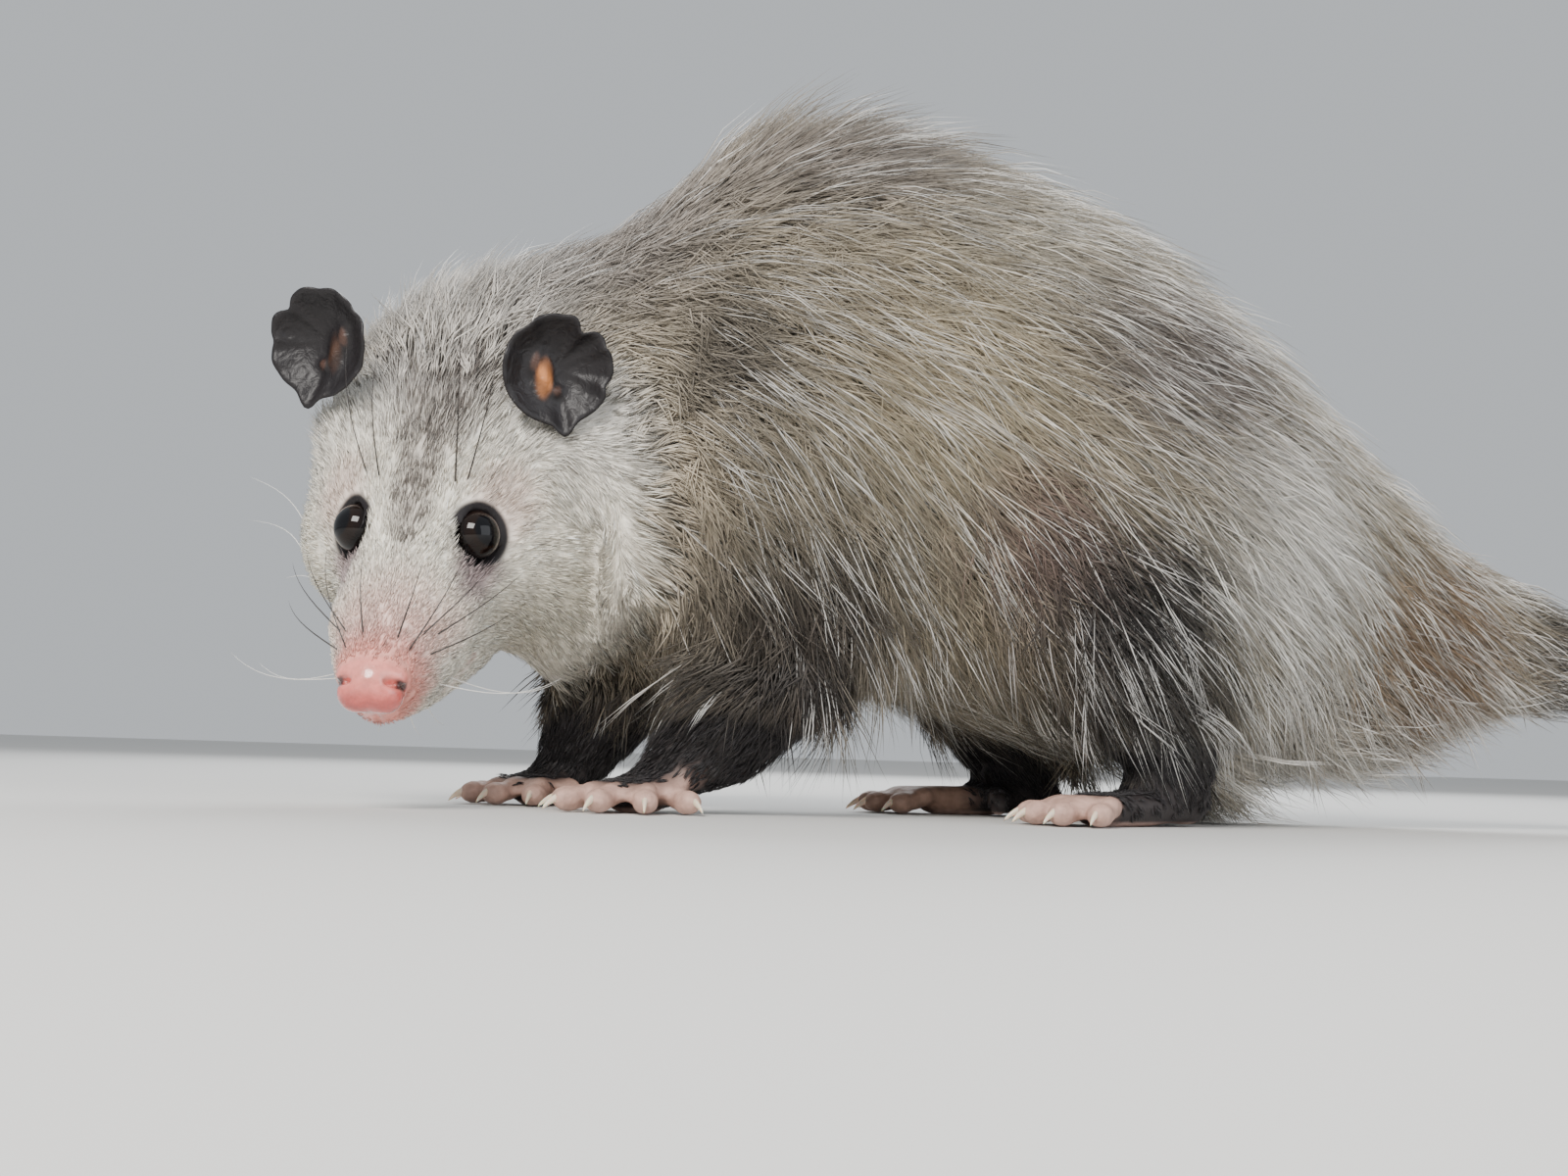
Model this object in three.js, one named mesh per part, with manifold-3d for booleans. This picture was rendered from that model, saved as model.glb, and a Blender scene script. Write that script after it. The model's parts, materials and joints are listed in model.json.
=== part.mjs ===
// A Virginia opossum, life size, standing with its back arched and its head low, turned to its own left.
// Every piece is measured out to the tips of the coat. The animal faces -X, its left side is -Y and it
// stands on z = 0. Lengths are millimetres. The body is one smooth field of named masses. A net is drawn
// over that field piece by piece, and thin flat cuts part the pieces where a person would name them.
import * as THREE from "three";
import { mergeVertices } from "three/addons/utils/BufferGeometryUtils.js";
import Module from "manifold-3d";

const wasm = await Module();
wasm.setup();

// Driving dimensions of the whole animal.
const GAP = 0.3; // the thin cut between neighbouring pieces
const HEAD_LENGTH = 112; // nose tip to the back of the skull
const EYE_RADIUS = 6.1;
const SOLE_DEPTH = 1.0; // how far feet and tail press past the floor before they are cut flat

const radians = THREE.MathUtils.degToRad;
const mix = THREE.MathUtils.lerp;
const v3 = (p) => new THREE.Vector3(...p);

// Fields: a function of x, y, z that is negative inside.

// Joins two fields with a fillet about as wide as k.
function blend(a, b, k) {
  const h = Math.max(k - Math.abs(a - b), 0) / k;
  return Math.min(a, b) - (h * h * k) / 4;
}

// Takes field b out of field a, with a rounded rim about as wide as k.
const hollow = (a, b, k) => -blend(-a, b, k);

// An egg-shaped mass, turned by angles in degrees about X, Y and Z.
function mass(at, radii, turn = [0, 0, 0]) {
  const back = new THREE.Matrix4()
    .makeRotationFromEuler(new THREE.Euler(...turn.map(radians)))
    .transpose().elements;
  const [rx, ry, rz] = radii;
  return (x, y, z) => {
    const [dx, dy, dz] = [x - at[0], y - at[1], z - at[2]];
    const px = (back[0] * dx + back[4] * dy + back[8] * dz) / rx;
    const py = (back[1] * dx + back[5] * dy + back[9] * dz) / ry;
    const pz = (back[2] * dx + back[6] * dy + back[10] * dz) / rz;
    const near = Math.hypot(px, py, pz);
    return (near * (near - 1)) / Math.max(Math.hypot(px / rx, py / ry, pz / rz), 1e-9);
  };
}

// A limb length that tapers from radius ra at a to radius rb at b.
function limb(a, b, ra, rb) {
  const way = [b[0] - a[0], b[1] - a[1], b[2] - a[2]];
  const long = way[0] ** 2 + way[1] ** 2 + way[2] ** 2;
  return (x, y, z) => {
    const [dx, dy, dz] = [x - a[0], y - a[1], z - a[2]];
    const t = Math.min(1, Math.max(0, (dx * way[0] + dy * way[1] + dz * way[2]) / long));
    return Math.hypot(dx - t * way[0], dy - t * way[1], dz - t * way[2]) - mix(ra, rb, t);
  };
}

// A body length: upright oval sections that change smoothly along x, [x, y, z, half width, half height].
// Past its first and last section it closes in a low dome.
const DOME = 0.5;
function barrel(stations, steps) {
  const centres = new THREE.CatmullRomCurve3(stations.map(v3), false, "centripetal");
  const sizes = new THREE.CatmullRomCurve3(stations.map(([x, , , wide, high]) => v3([x, wide, high])));
  const rings = Array.from({ length: steps + 1 }, (_, i) => {
    const [c, s] = [centres.getPoint(i / steps), sizes.getPoint(i / steps)];
    return [c.x, c.y, c.z, s.y, s.z];
  }).sort((a, b) => a[0] - b[0]);
  return (x, y, z) => {
    const within = THREE.MathUtils.clamp(x, rings[0][0], rings[steps][0]);
    let n = 1;
    while (n < steps && rings[n][0] < within) n++;
    const t = (within - rings[n - 1][0]) / (rings[n][0] - rings[n - 1][0]);
    const [, cy, cz, wide, high] = rings[n].map((value, m) => mix(rings[n - 1][m], value, t));
    const [dx, dy, dz] = [x - within, y - cy, z - cz];
    const k = Math.hypot(dx / (DOME * Math.min(wide, high)), dy / wide, dz / high);
    return k > 1e-6 ? Math.hypot(dx, dy, dz) * (1 - 1 / k) : -Math.min(wide, high);
  };
}

// The head's own frame: x forward to the nose, y to the animal's left, z to the crown, from the nose tip.
const NOSE_TIP = [-103, -76, 24.3];
const HEAD_TURN = 79; // degrees, from facing -X towards its left
const HEAD_DROP = 39; // degrees, nose down
const HEAD_LEAN = -2.5; // degrees, ear towards shoulder
const headFrame = (() => {
  const ahead = new THREE.Vector3(-Math.cos(radians(HEAD_TURN)), -Math.sin(radians(HEAD_TURN)), 0);
  const left = new THREE.Vector3(0, 0, 1).cross(ahead);
  const level = new THREE.Matrix4().makeBasis(ahead, left, new THREE.Vector3(0, 0, 1));
  return new THREE.Matrix4()
    .makeTranslation(...NOSE_TIP)
    .multiply(level)
    .multiply(new THREE.Matrix4().makeRotationY(radians(HEAD_DROP)))
    .multiply(new THREE.Matrix4().makeRotationX(radians(HEAD_LEAN)));
})();
const intoHead = headFrame.clone().invert().elements;
const fromHead = (p) => v3(p).applyMatrix4(headFrame).toArray();

// Head: a long wedge, [x, y, z, half width, half height], with cheeks, brows and a slim lower jaw.
const skull = barrel(
  [
    [-3, 0, 0, 7.0, 5.8],
    [-9, 0, 0.4, 8.6, 7.6],
    [-20, 0, 0.2, 11.0, 9.6],
    [-34, 0, 1.2, 14.0, 12.6],
    [-48, 0, 2.4, 17.6, 16.8],
    [-60, 0, 3.2, 22.6, 21.5],
    [-76, 0, 3.4, 28.8, 26.5],
    [-92, 0, 2.6, 33.0, 30.0],
    [-HEAD_LENGTH + 8, 0, 1, 31.0, 29.0],
  ],
  26,
);
const EYE_AT = [-54.6, 14.2, 10.8];
const headMasses = [1, -1].flatMap((side) => [
  { field: mass([-76, 19.5 * side, -6], [23, 18, 20], [0, -8, -14 * side]), k: 12 }, // cheek
  { field: mass([-61, 10.5 * side, 14.5], [13, 8, 7.5], [0, 22, 18 * side]), k: 8 }, // brow
  { field: mass([-30, 8.8 * side, -5.5], [20, 7.8, 7], [0, 0, -12 * side]), k: 6 }, // whisker pad
  { field: mass([-90, 25 * side, side > 0 ? 17 : 21], [12, 12, 13]), k: 9 }, // fur round the ear
]);
const lowerJaw = barrel(
  [
    [-8.5, 0, -9.6, 5.0, 3.4],
    [-20, 0, -14.6, 8.4, 5.0],
    [-36, 0, -19.2, 13.0, 7.4],
    [-52, 0, -21.6, 18.0, 10.0],
    [-70, 0, -21.0, 22.0, 12.0],
  ],
  12,
);
const sockets = [1, -1].map((side) => mass([-50.5, 18.2 * side, 13.5], [8.5, 6.5, 7]));

function headField(x, y, z) {
  let f = skull(x, y, z);
  for (const { field, k } of headMasses) f = blend(f, field(x, y, z), k);
  f = blend(f, lowerJaw(x, y, z), 4);
  for (const socket of sockets) f = hollow(f, socket(x, y, z), 5);
  return f;
}

// Trunk: [x, y, z, half width, half height] from the shoulders over the arched back to the tail's root.
const trunk = barrel(
  [
    [-46, 4, 108.5, 32, 57],
    [-20, 2, 111, 46, 78],
    [14, 0, 112, 58, 80.5],
    [50, 0, 102.5, 61, 81],
    [84, 1, 94, 61, 75],
    [116, 2, 79, 55, 70],
    [146, 3, 65, 43, 59],
    [174, 4, 57, 31, 41],
    [192, 4.5, 54, 23, 29],
    [210, 5.2, 51, 17, 20],
    [226, 6, 48, 12.4, 13.5],
    [240, 7, 43, 9.6, 10],
    [256, 8.4, 35.4, 8.2, 9],
  ],
  40,
);
const TAIL_ROOT = [190, 4, 54];

const bodyMasses = [
  { field: mass([-86, 8, 102], [44, 33, 44]), k: 20 }, // neck and ruff
  { field: mass([-60, 6, 112], [32, 27, 46]), k: 16 }, // nape
  { field: mass([-52, 5, 66], [30, 34, 38], [0, -10, 0]), k: 22 }, // chest
  { field: mass([-16, -36, 80], [28, 19, 42], [0, 20, 0]), k: 20 }, // shoulders
  { field: mass([-26, 36, 80], [28, 19, 42], [0, 18, 0]), k: 20 },
  { field: mass([97, -30, 67], [37, 31, 40], [0, 12, 0]), k: 20 }, // haunches
  { field: mass([82, 32, 67], [37, 31, 40], [0, 8, 0]), k: 20 },
];

// Feet. A heading is in degrees from -X towards -Y, and side is 1 for a left foot, -1 for a right one.
// In a foot's own frame x runs ahead, y outward and z up. A toe is [root x, root y, angle outward in
// degrees, length, thickness], and the first one is the thumb.
const FRONT_TOES = [
  [2, -5.5, -70, 13, 2.7],
  [5, -4.2, -30, 15.5, 2.8],
  [6, -0.8, -4, 16.5, 2.9],
  [5, 3.2, 22, 15.5, 2.8],
  [2, 5.5, 54, 13, 2.7],
];
const HIND_TOES = [
  [16, -5.5, -82, 13, 3.3],
  [31, -5.2, -24, 14, 2.8],
  [33, -1.8, -8, 16, 2.9],
  [32.5, 2, 8, 16, 2.9],
  [30, 5.2, 26, 14, 2.7],
];
const FRONT_PALM = [
  [-6, 0, 8, 6.2],
  [0, 0, 5.0, 8.2],
  [8, 0, 4.4, 7.6],
];
const HIND_SOLE = [
  [-5, 0, 6.2, 5.4],
  [4, 0, 5.8, 6.8],
  [20, 0, 4.8, 7.4],
  [33, 0, 4.4, 7.6],
];
const PALM_FLATNESS = 0.72;
const CLAW_LENGTH = 7;
const CLAW_RADIUS = 1.35;

// Each leg: joints from where it shows below the trunk, its parting from the trunk and its foot.
const legs = {
  front_left: {
    joints: [[4, -37, 44], [-16, -36, 25], [-34, -34, 8]],
    radii: [20, 13.5, 8.4],
    block: { side: 1, at: [-16, 92], radius: 32, inner: -17, low: [-54, 26] },
    foot: { side: 1, at: [-38, -35], heading: 64 },
    pad: FRONT_PALM,
    toes: FRONT_TOES,
    clawed: FRONT_TOES,
  },
  front_right: {
    joints: [[-32, 24, 46], [-48, 18, 27], [-58, 12, 8]],
    radii: [19, 13, 8.4],
    block: { side: -1, at: [-30, 92], radius: 32, inner: 3, low: [-78, 2] },
    foot: { side: -1, at: [-61, 10], heading: 46 },
    pad: FRONT_PALM,
    toes: FRONT_TOES,
    clawed: FRONT_TOES,
  },
  hind_left: {
    joints: [[74, -42, 50], [91, -40, 29], [100, -37, 8]],
    radii: [24, 15, 8.4],
    block: { side: 1, at: [98, 80], radius: 46, inner: -15, low: [46, 126] },
    foot: { side: 1, at: [101, -36], heading: 30 },
    pad: HIND_SOLE,
    toes: HIND_TOES,
    clawed: HIND_TOES.slice(1),
  },
  hind_right: {
    joints: [[54, 38, 48], [67, 33, 27], [77, 27, 8]],
    radii: [23, 14.5, 8.4],
    block: { side: -1, at: [84, 80], radius: 46, inner: 15, low: [26, 112] },
    foot: { side: -1, at: [78, 26], heading: 6 },
    pad: HIND_SOLE,
    toes: HIND_TOES,
    clawed: HIND_TOES.slice(1),
  },
};

const legFields = Object.values(legs).flatMap(({ joints, radii }) => [
  limb(joints[0], joints[1], radii[0], radii[1]),
  limb(joints[1], joints[2], radii[1], radii[2]),
]);

function bodyField(x, y, z) {
  let f = trunk(x, y, z);
  for (const { field, k } of bodyMasses) f = blend(f, field(x, y, z), k);
  return f;
}

// The whole skin of the animal without feet, ears and the bare tail.
function wholeField(x, y, z) {
  let f = bodyField(x, y, z);
  for (const limbField of legFields) f = blend(f, limbField(x, y, z), 11);
  const m = intoHead;
  const hx = m[0] * x + m[4] * y + m[8] * z + m[12];
  const hy = m[1] * x + m[5] * y + m[9] * z + m[13];
  const hz = m[2] * x + m[6] * y + m[10] * z + m[14];
  return blend(f, headField(hx, hy, hz), 12);
}

// Draws a net of four-sided meshes over a field, on a grid of cells that place(i, j, k) sets in space.
// The grid's outer layer counts as outside, so a body that runs on past the grid is closed there.
function net(field, place, counts) {
  const [nx, ny, nz] = counts;
  const at = (i, j, k) => (k * ny + j) * nx + i;
  const points = [];
  const values = [];
  const rim = [];
  for (let k = 0; k < nz; k++)
    for (let j = 0; j < ny; j++)
      for (let i = 0; i < nx; i++) {
        const p = place(i, j, k);
        const outer = i === 0 || j === 0 || k === 0 || i === nx - 1 || j === ny - 1 || k === nz - 1;
        points.push(p);
        rim.push(outer);
        values.push(outer ? Math.max(1, field(...p)) : field(...p));
      }
  const knots = [];
  const knotOf = new Map();
  for (let k = 0; k < nz - 1; k++)
    for (let j = 0; j < ny - 1; j++)
      for (let i = 0; i < nx - 1; i++) {
        const ids = CELL_CORNERS.map(([a, b, c]) => at(i + a, j + b, k + c));
        const crossings = CELL_EDGES.map(([a, b]) => [ids[a], ids[b]]).filter(
          ([a, b]) => values[a] < 0 !== values[b] < 0,
        );
        if (!crossings.length) continue;
        const sum = new THREE.Vector3();
        for (const [a, b] of crossings) {
          const t = THREE.MathUtils.clamp(values[a] / (values[a] - values[b]), 0.05, 0.95);
          sum.add(v3(points[a]).lerp(v3(points[b]), t));
        }
        const knot = sum.divideScalar(crossings.length).toArray();
        knotOf.set(at(i, j, k), knots.length);
        knots.push(ids.some((id) => rim[id]) ? knot : settle(field, knot));
      }
  const faces = [];
  const steps = [1, nx, nx * ny];
  for (let k = 0; k < nz - 1; k++)
    for (let j = 0; j < ny - 1; j++)
      for (let i = 0; i < nx - 1; i++)
        for (let axis = 0; axis < 3; axis++) {
          const index = [i, j, k];
          if (index[(axis + 1) % 3] === 0 || index[(axis + 2) % 3] === 0) continue;
          const here = at(i, j, k);
          const [inHere, inNext] = [values[here] < 0, values[here + steps[axis]] < 0];
          if (inHere !== inNext) faces.push(...quad(knots, knotOf, here, steps, axis, inHere));
        }
  return geometryOf(knots, faces);
}

const CELL_CORNERS = [0, 1, 2, 3, 4, 5, 6, 7].map((c) => [c & 1, (c >> 1) & 1, (c >> 2) & 1]);
const CELL_EDGES = CELL_CORNERS.flatMap((_, a) => [1, 2, 4].filter((b) => !(a & b)).map((b) => [a, a | b]));

// The two triangles where the net crosses one grid line, cut along the shorter diagonal.
function quad(knots, knotOf, here, steps, axis, outward) {
  const [u, v] = [steps[(axis + 1) % 3], steps[(axis + 2) % 3]];
  const ring = [here, here - u, here - u - v, here - v].map((id) => knotOf.get(id));
  if (!outward) ring.reverse();
  const [a, b, c, d] = ring;
  return apart(knots[a], knots[c]) < apart(knots[b], knots[d]) ? [a, b, c, a, c, d] : [a, b, d, b, c, d];
}

const apart = (p, q) => Math.hypot(p[0] - q[0], p[1] - q[1], p[2] - q[2]);

// Moves a point of the net onto the field's zero, by at most a small step.
function settle(field, p) {
  const e = 0.05;
  const f = field(...p);
  const slope = [0, 1, 2].map((n) => {
    const q = [...p];
    q[n] += e;
    return (field(...q) - f) / e;
  });
  const steep = Math.hypot(...slope);
  if (Math.abs(f) > 50 || steep < 0.2) return p;
  const step = Math.max(-2, Math.min(2, f / steep)) / steep;
  return p.map((value, n) => value - slope[n] * step);
}

function geometryOf(points, faces) {
  return new THREE.BufferGeometry()
    .setAttribute("position", new THREE.Float32BufferAttribute(points.flat(), 3))
    .setIndex(faces);
}

// A net on an even grid of the given cell over a box of low and high corners.
function boxNet(field, low, high, cell) {
  const counts = low.map((value, n) => Math.ceil((high[n] - value) / cell) + 1);
  const place = (i, j, k) => [low[0] + i * cell, low[1] + j * cell, low[2] + k * cell];
  return solidOf(net(field, place, counts));
}

// Solids for cutting and joining.
function solidOf(geometry) {
  const bare = geometry.index ? geometry.toNonIndexed() : geometry;
  bare.deleteAttribute("normal");
  bare.deleteAttribute("uv");
  const merged = mergeVertices(bare, 1e-4);
  return new wasm.Manifold(
    new wasm.Mesh({
      numProp: 3,
      vertProperties: merged.attributes.position.array,
      triVerts: merged.index.array,
    }),
  );
}

// The faces of a solid, with its corners set to whole microns and the edges shorter than that closed up.
const MICRON = 0.001;
function geometryFrom(solid) {
  const mesh = solid.getMesh();
  const corners = Float32Array.from(mesh.vertProperties, (value) => Math.round(value / MICRON) * MICRON);
  const geometry = new THREE.BufferGeometry()
    .setAttribute("position", new THREE.BufferAttribute(corners, 3))
    .setIndex(new THREE.BufferAttribute(mesh.triVerts, 1));
  const merged = mergeVertices(geometry, MICRON / 2);
  const ids = merged.index.array;
  const kept = [];
  for (let i = 0; i < ids.length; i += 3) {
    const [a, b, c] = ids.slice(i, i + 3);
    if (a !== b && b !== c && c !== a) kept.push(a, b, c);
  }
  return merged.setIndex(kept);
}

const HUGE = 1200; // longer than the whole animal

// The half of space on the far side of a point from where a direction points, less half the gap.
function behind(point, direction, give = GAP / 2) {
  const block = new THREE.BoxGeometry(HUGE, HUGE, HUGE);
  block.translate(0, 0, -HUGE / 2 - give);
  const towards = v3(direction).normalize();
  block.applyQuaternion(new THREE.Quaternion().setFromUnitVectors(new THREE.Vector3(0, 0, 1), towards));
  block.translate(...point);
  return solidOf(block);
}
const beyond = (point, direction) => behind(point, direction.map((d) => -d));

// A closed tube of oval rings, [x, y, z, radius], with each end drawn to a low point.
const LOFT_DOME = 0.45;
function loft(rings, sides, flat = 1) {
  const last = rings.length - 1;
  const ahead = rings.map((_, i) =>
    v3(rings[Math.min(last, i + 1)]).sub(v3(rings[Math.max(0, i - 1)])).normalize(),
  );
  const points = [];
  const faces = [];
  rings.forEach((ring, i) => {
    const side = new THREE.Vector3(0, 0, 1).cross(ahead[i]).normalize();
    const up = ahead[i].clone().cross(side);
    for (let s = 0; s < sides; s++) {
      const turn = (2 * Math.PI * s) / sides;
      const reach = side.clone().multiplyScalar(ring[3] * Math.cos(turn));
      points.push(v3(ring).add(reach).addScaledVector(up, ring[3] * flat * Math.sin(turn)).toArray());
    }
  });
  const cap = (i, sign) => {
    const point = v3(rings[i]).addScaledVector(ahead[i], sign * LOFT_DOME * rings[i][3]);
    return points.push(point.toArray()) - 1;
  };
  const [start, end] = [cap(0, -1), cap(last, 1)];
  for (let s = 0; s < sides; s++) {
    const t = (s + 1) % sides;
    faces.push(start, t, s, end, last * sides + s, last * sides + t);
    for (let i = 0; i < last; i++) {
      const [a, b] = [i * sides + s, i * sides + t];
      faces.push(a, b, a + sides, b, b + sides, a + sides);
    }
  }
  return solidOf(geometryOf(points, faces));
}

// Rings of a foot's frame placed in space.
function inFoot({ at, heading, side }, rings, grow = 0) {
  const [c, s] = [Math.cos(radians(heading)), Math.sin(radians(heading))];
  return rings.map(([x, y, z, radius]) => [
    at[0] - x * c + y * side * s,
    at[1] - x * s - y * side * c,
    z,
    radius + grow,
  ]);
}

// Rings along a toe: each step is [how far ahead, height, radius].
function alongToe([rootX, rootY, angle], steps) {
  const [c, s] = [Math.cos(radians(angle)), Math.sin(radians(angle))];
  return steps.map(([ahead, z, radius]) => [rootX + ahead * c, rootY + ahead * s, z, radius]);
}

function toeRings(toe) {
  const [long, thick] = toe.slice(3);
  return alongToe(toe, [
    [-0.1 * long, 4.6, thick],
    [0.5 * long, 5.6, thick * 1.05],
    [long, thick - SOLE_DEPTH, thick * 0.95],
  ]);
}

function clawRings(toe) {
  const [long, thick] = toe.slice(3);
  return alongToe(toe, [
    [long, thick * 0.95, CLAW_RADIUS],
    [long + 0.6 * CLAW_LENGTH, thick * 0.85, CLAW_RADIUS * 0.8],
    [long + CLAW_LENGTH, 0.7, 0.4],
  ]);
}

function footSolid(leg, grow) {
  let solid = loft(inFoot(leg.foot, leg.pad, grow), 8, PALM_FLATNESS);
  for (const toe of leg.toes) solid = solid.add(loft(inFoot(leg.foot, toeRings(toe), grow), 5));
  return solid;
}

// The block of space that a leg takes out of the trunk: a rounded top that tapers to the ankle.
function legBlock({ block }, grow) {
  const [x, z] = block.at;
  const radius = block.radius + grow;
  const floor = -20;
  const outline = new THREE.Shape()
    .moveTo(block.low[0] - grow, floor)
    .lineTo(block.low[1] + grow, floor)
    .lineTo(x + radius, z)
    .absarc(x, z, radius, 0, Math.PI, false);
  const prism = new THREE.ExtrudeGeometry(outline, { depth: HUGE, bevelEnabled: false, curveSegments: 7 });
  prism.rotateX(Math.PI / 2);
  prism.translate(0, block.side > 0 ? block.inner + grow : block.inner + HUGE - grow, 0);
  return solidOf(prism);
}

// Tail: [x, y, z, radius] from its furred root to the tip; its outer length lies along the floor.
const lie = (radius) => radius - 0.7;
const tailRings = [
  [243, 7.2, 42, 8.4],
  [255, 8.2, 36, 8.2],
  [267, 9.6, 29, 7.9],
  [281, 11.6, 20.5, 7.5],
  [295, 14, 13.2, 7.1],
  [309, 17, 8.6, 6.7],
  [323, 20.8, lie(6.3), 6.3],
  [337, 25.6, lie(5.9), 5.9],
  [350, 31.8, lie(5.5), 5.5],
  [362, 39.6, lie(5.1), 5.1],
  [372, 49, lie(4.7), 4.7],
  [379, 60, lie(4.3), 4.3],
  [382, 72, lie(3.9), 3.9],
  [380, 84, lie(3.5), 3.5],
  [373, 94, lie(3.1), 3.1],
  [363, 100, lie(2.7), 2.7],
  [352, 101, lie(2.2), 2.2],
  [343, 97, lie(1.8), 1.8],
];
const TAIL_CUTS = [1, 6, 11];

// Ears: a bare, cupped leaf on a narrow foot. Its rim is ragged, so each ear has its own notches,
// [angle, depth, width] in degrees and shares of the radius, from the top towards the outer side.
const EAR_REACH = 14;
const EAR_THICK = 1.3;
const EAR_RINGS = 4;
const EAR_SPOKES = 16;
const EAR_BASE = [-83.5, 28, 30]; // of the left ear, in the head's frame
const EAR_UP = [-0.48, 0.2, 0.87];
const EAR_FACING = [0.84, 0.3, 0.42];
const ears = {
  left: { side: 1, lift: 0, notches: [[20, 0.17, 11], [-50, 0.05, 9], [96, 0.09, 9]] },
  right: { side: -1, lift: 4, notches: [[36, 0.14, 10], [-12, 0.05, 9], [80, 0.06, 8]] },
};

// The left ear's own frame in the head: u outward, v up the leaf, w the way it hears.
const earFrame = (() => {
  const w = v3(EAR_FACING).normalize();
  const u = v3(EAR_UP).cross(w).normalize();
  const frame = new THREE.Matrix4().makeBasis(u, w.clone().cross(u), w);
  return frame.setPosition(...EAR_BASE);
})();

// A point of an ear's leaf by ring and spoke, on its cupped front or on its back.
function earPoint(ear, ring, spoke, back, grow) {
  const angle = (360 * spoke) / EAR_SPOKES - 180; // 0 is the top of the ear
  const share = ring / EAR_RINGS;
  let reach = EAR_REACH;
  for (const [where, depth, width] of ear.notches) {
    reach *= 1 - depth * Math.exp(-(((angle - where) / width) ** 2));
  }
  const r = (reach + grow) * share;
  const cup = -4 + 6 * share ** 2.2;
  const w = back ? cup - EAR_THICK * (1 - 0.45 * share ** 4) - grow : cup + grow;
  const [out, up] = [r * Math.sin(radians(angle)), r * Math.cos(radians(angle)) + 0.8 * EAR_REACH];
  const local = new THREE.Vector3(out, up, w).applyMatrix4(earFrame);
  return fromHead([local.x, local.y * ear.side, local.z + ear.lift]);
}

function earSolid(ear, grow = 0) {
  const points = [];
  const faces = [];
  for (const back of [false, true]) {
    points.push(earPoint(ear, 0, 0, back, grow));
    for (let ring = 1; ring <= EAR_RINGS; ring++) {
      for (let spoke = 0; spoke < EAR_SPOKES; spoke++) points.push(earPoint(ear, ring, spoke, back, grow));
    }
  }
  const id = (ring, spoke, back) => {
    const first = back ? points.length / 2 : 0;
    return ring === 0 ? first : first + 1 + (ring - 1) * EAR_SPOKES + (spoke % EAR_SPOKES);
  };
  const add = (back, ...corners) => {
    const flip = back !== ear.side < 0;
    faces.push(...(flip ? corners : corners.reverse()));
  };
  for (let spoke = 0; spoke < EAR_SPOKES; spoke++) {
    for (const back of [false, true]) {
      for (let ring = 0; ring < EAR_RINGS; ring++) {
        const [a, b] = [id(ring, spoke, back), id(ring, spoke + 1, back)];
        const [c, d] = [id(ring + 1, spoke, back), id(ring + 1, spoke + 1, back)];
        add(back, a, c, d);
        if (ring > 0) add(back, a, d, b);
      }
    }
    const [a, b] = [id(EAR_RINGS, spoke, false), id(EAR_RINGS, spoke + 1, false)];
    const [c, d] = [id(EAR_RINGS, spoke, true), id(EAR_RINGS, spoke + 1, true)];
    add(true, a, b, d);
    add(true, a, d, c);
  }
  return solidOf(geometryOf(points, faces));
}

// The head's block of space, and the net over the head, whose cells grow from the nose to the nape.
const HEAD_BACK = -93;
function headBlock(grow) {
  const wide = 45 + grow;
  const low = -36 - grow;
  const outline = new THREE.Shape()
    .moveTo(20, -wide)
    .lineTo(20, wide)
    .lineTo(-68, wide)
    .lineTo(HEAD_BACK - grow, 33 + grow)
    .lineTo(HEAD_BACK - grow, -33 - grow)
    .lineTo(-68, -wide);
  const block = new THREE.ExtrudeGeometry(outline, { depth: 90 - low, bevelEnabled: false });
  return solidOf(block.translate(0, 0, low).applyMatrix4(headFrame));
}

function headNet() {
  const [rows, columns, layers] = [19, 15, 15];
  const place = (i, j, k) => {
    const t = i / (rows - 1);
    const x = mix(-HEAD_LENGTH, 5, 1 - (1 - t) ** 1.2);
    const cell = mix(1.9, 7.0, Math.min(1, Math.max(0, (4 - x) / 84)) ** 0.85);
    return fromHead([x, (j - (columns - 1) / 2) * cell, (k - (layers - 1) / 2) * cell]);
  };
  return solidOf(net(wholeField, place, [rows, columns, layers]));
}

// Puts the pieces together. The cells of the nets get smaller as the forms do.
const TRUNK_CELL = 21;
const THIGH_CELL = 14;
const SHANK_CELL = 9.2;
const TAIL_ROOT_CELL = 11;
const THIGH_REACH = 93; // half the box round a leg's first joint
const SHANK_REACH = 44; // half the box round its second one
const opossum = new THREE.Group();
const finishes = {
  white_fur: [0xd9d4c9, 0.9],
  grey_fur: [0x9a9288, 0.9],
  black_fur: [0x1d1a1b, 0.85],
  bare_skin: [0xd9a091, 0.6],
  dark_skin: [0x1b1819, 0.55],
  eye: [0x0a0809, 0.08],
  claw: [0xe3d3b4, 0.35],
};

function addPiece(name, solid, finish) {
  const [color, roughness] = finishes[finish];
  const mesh = new THREE.Mesh(
    geometryFrom(solid),
    new THREE.MeshStandardMaterial({ color, roughness, metalness: 0 }),
  );
  mesh.name = name;
  opossum.add(mesh);
}

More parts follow.
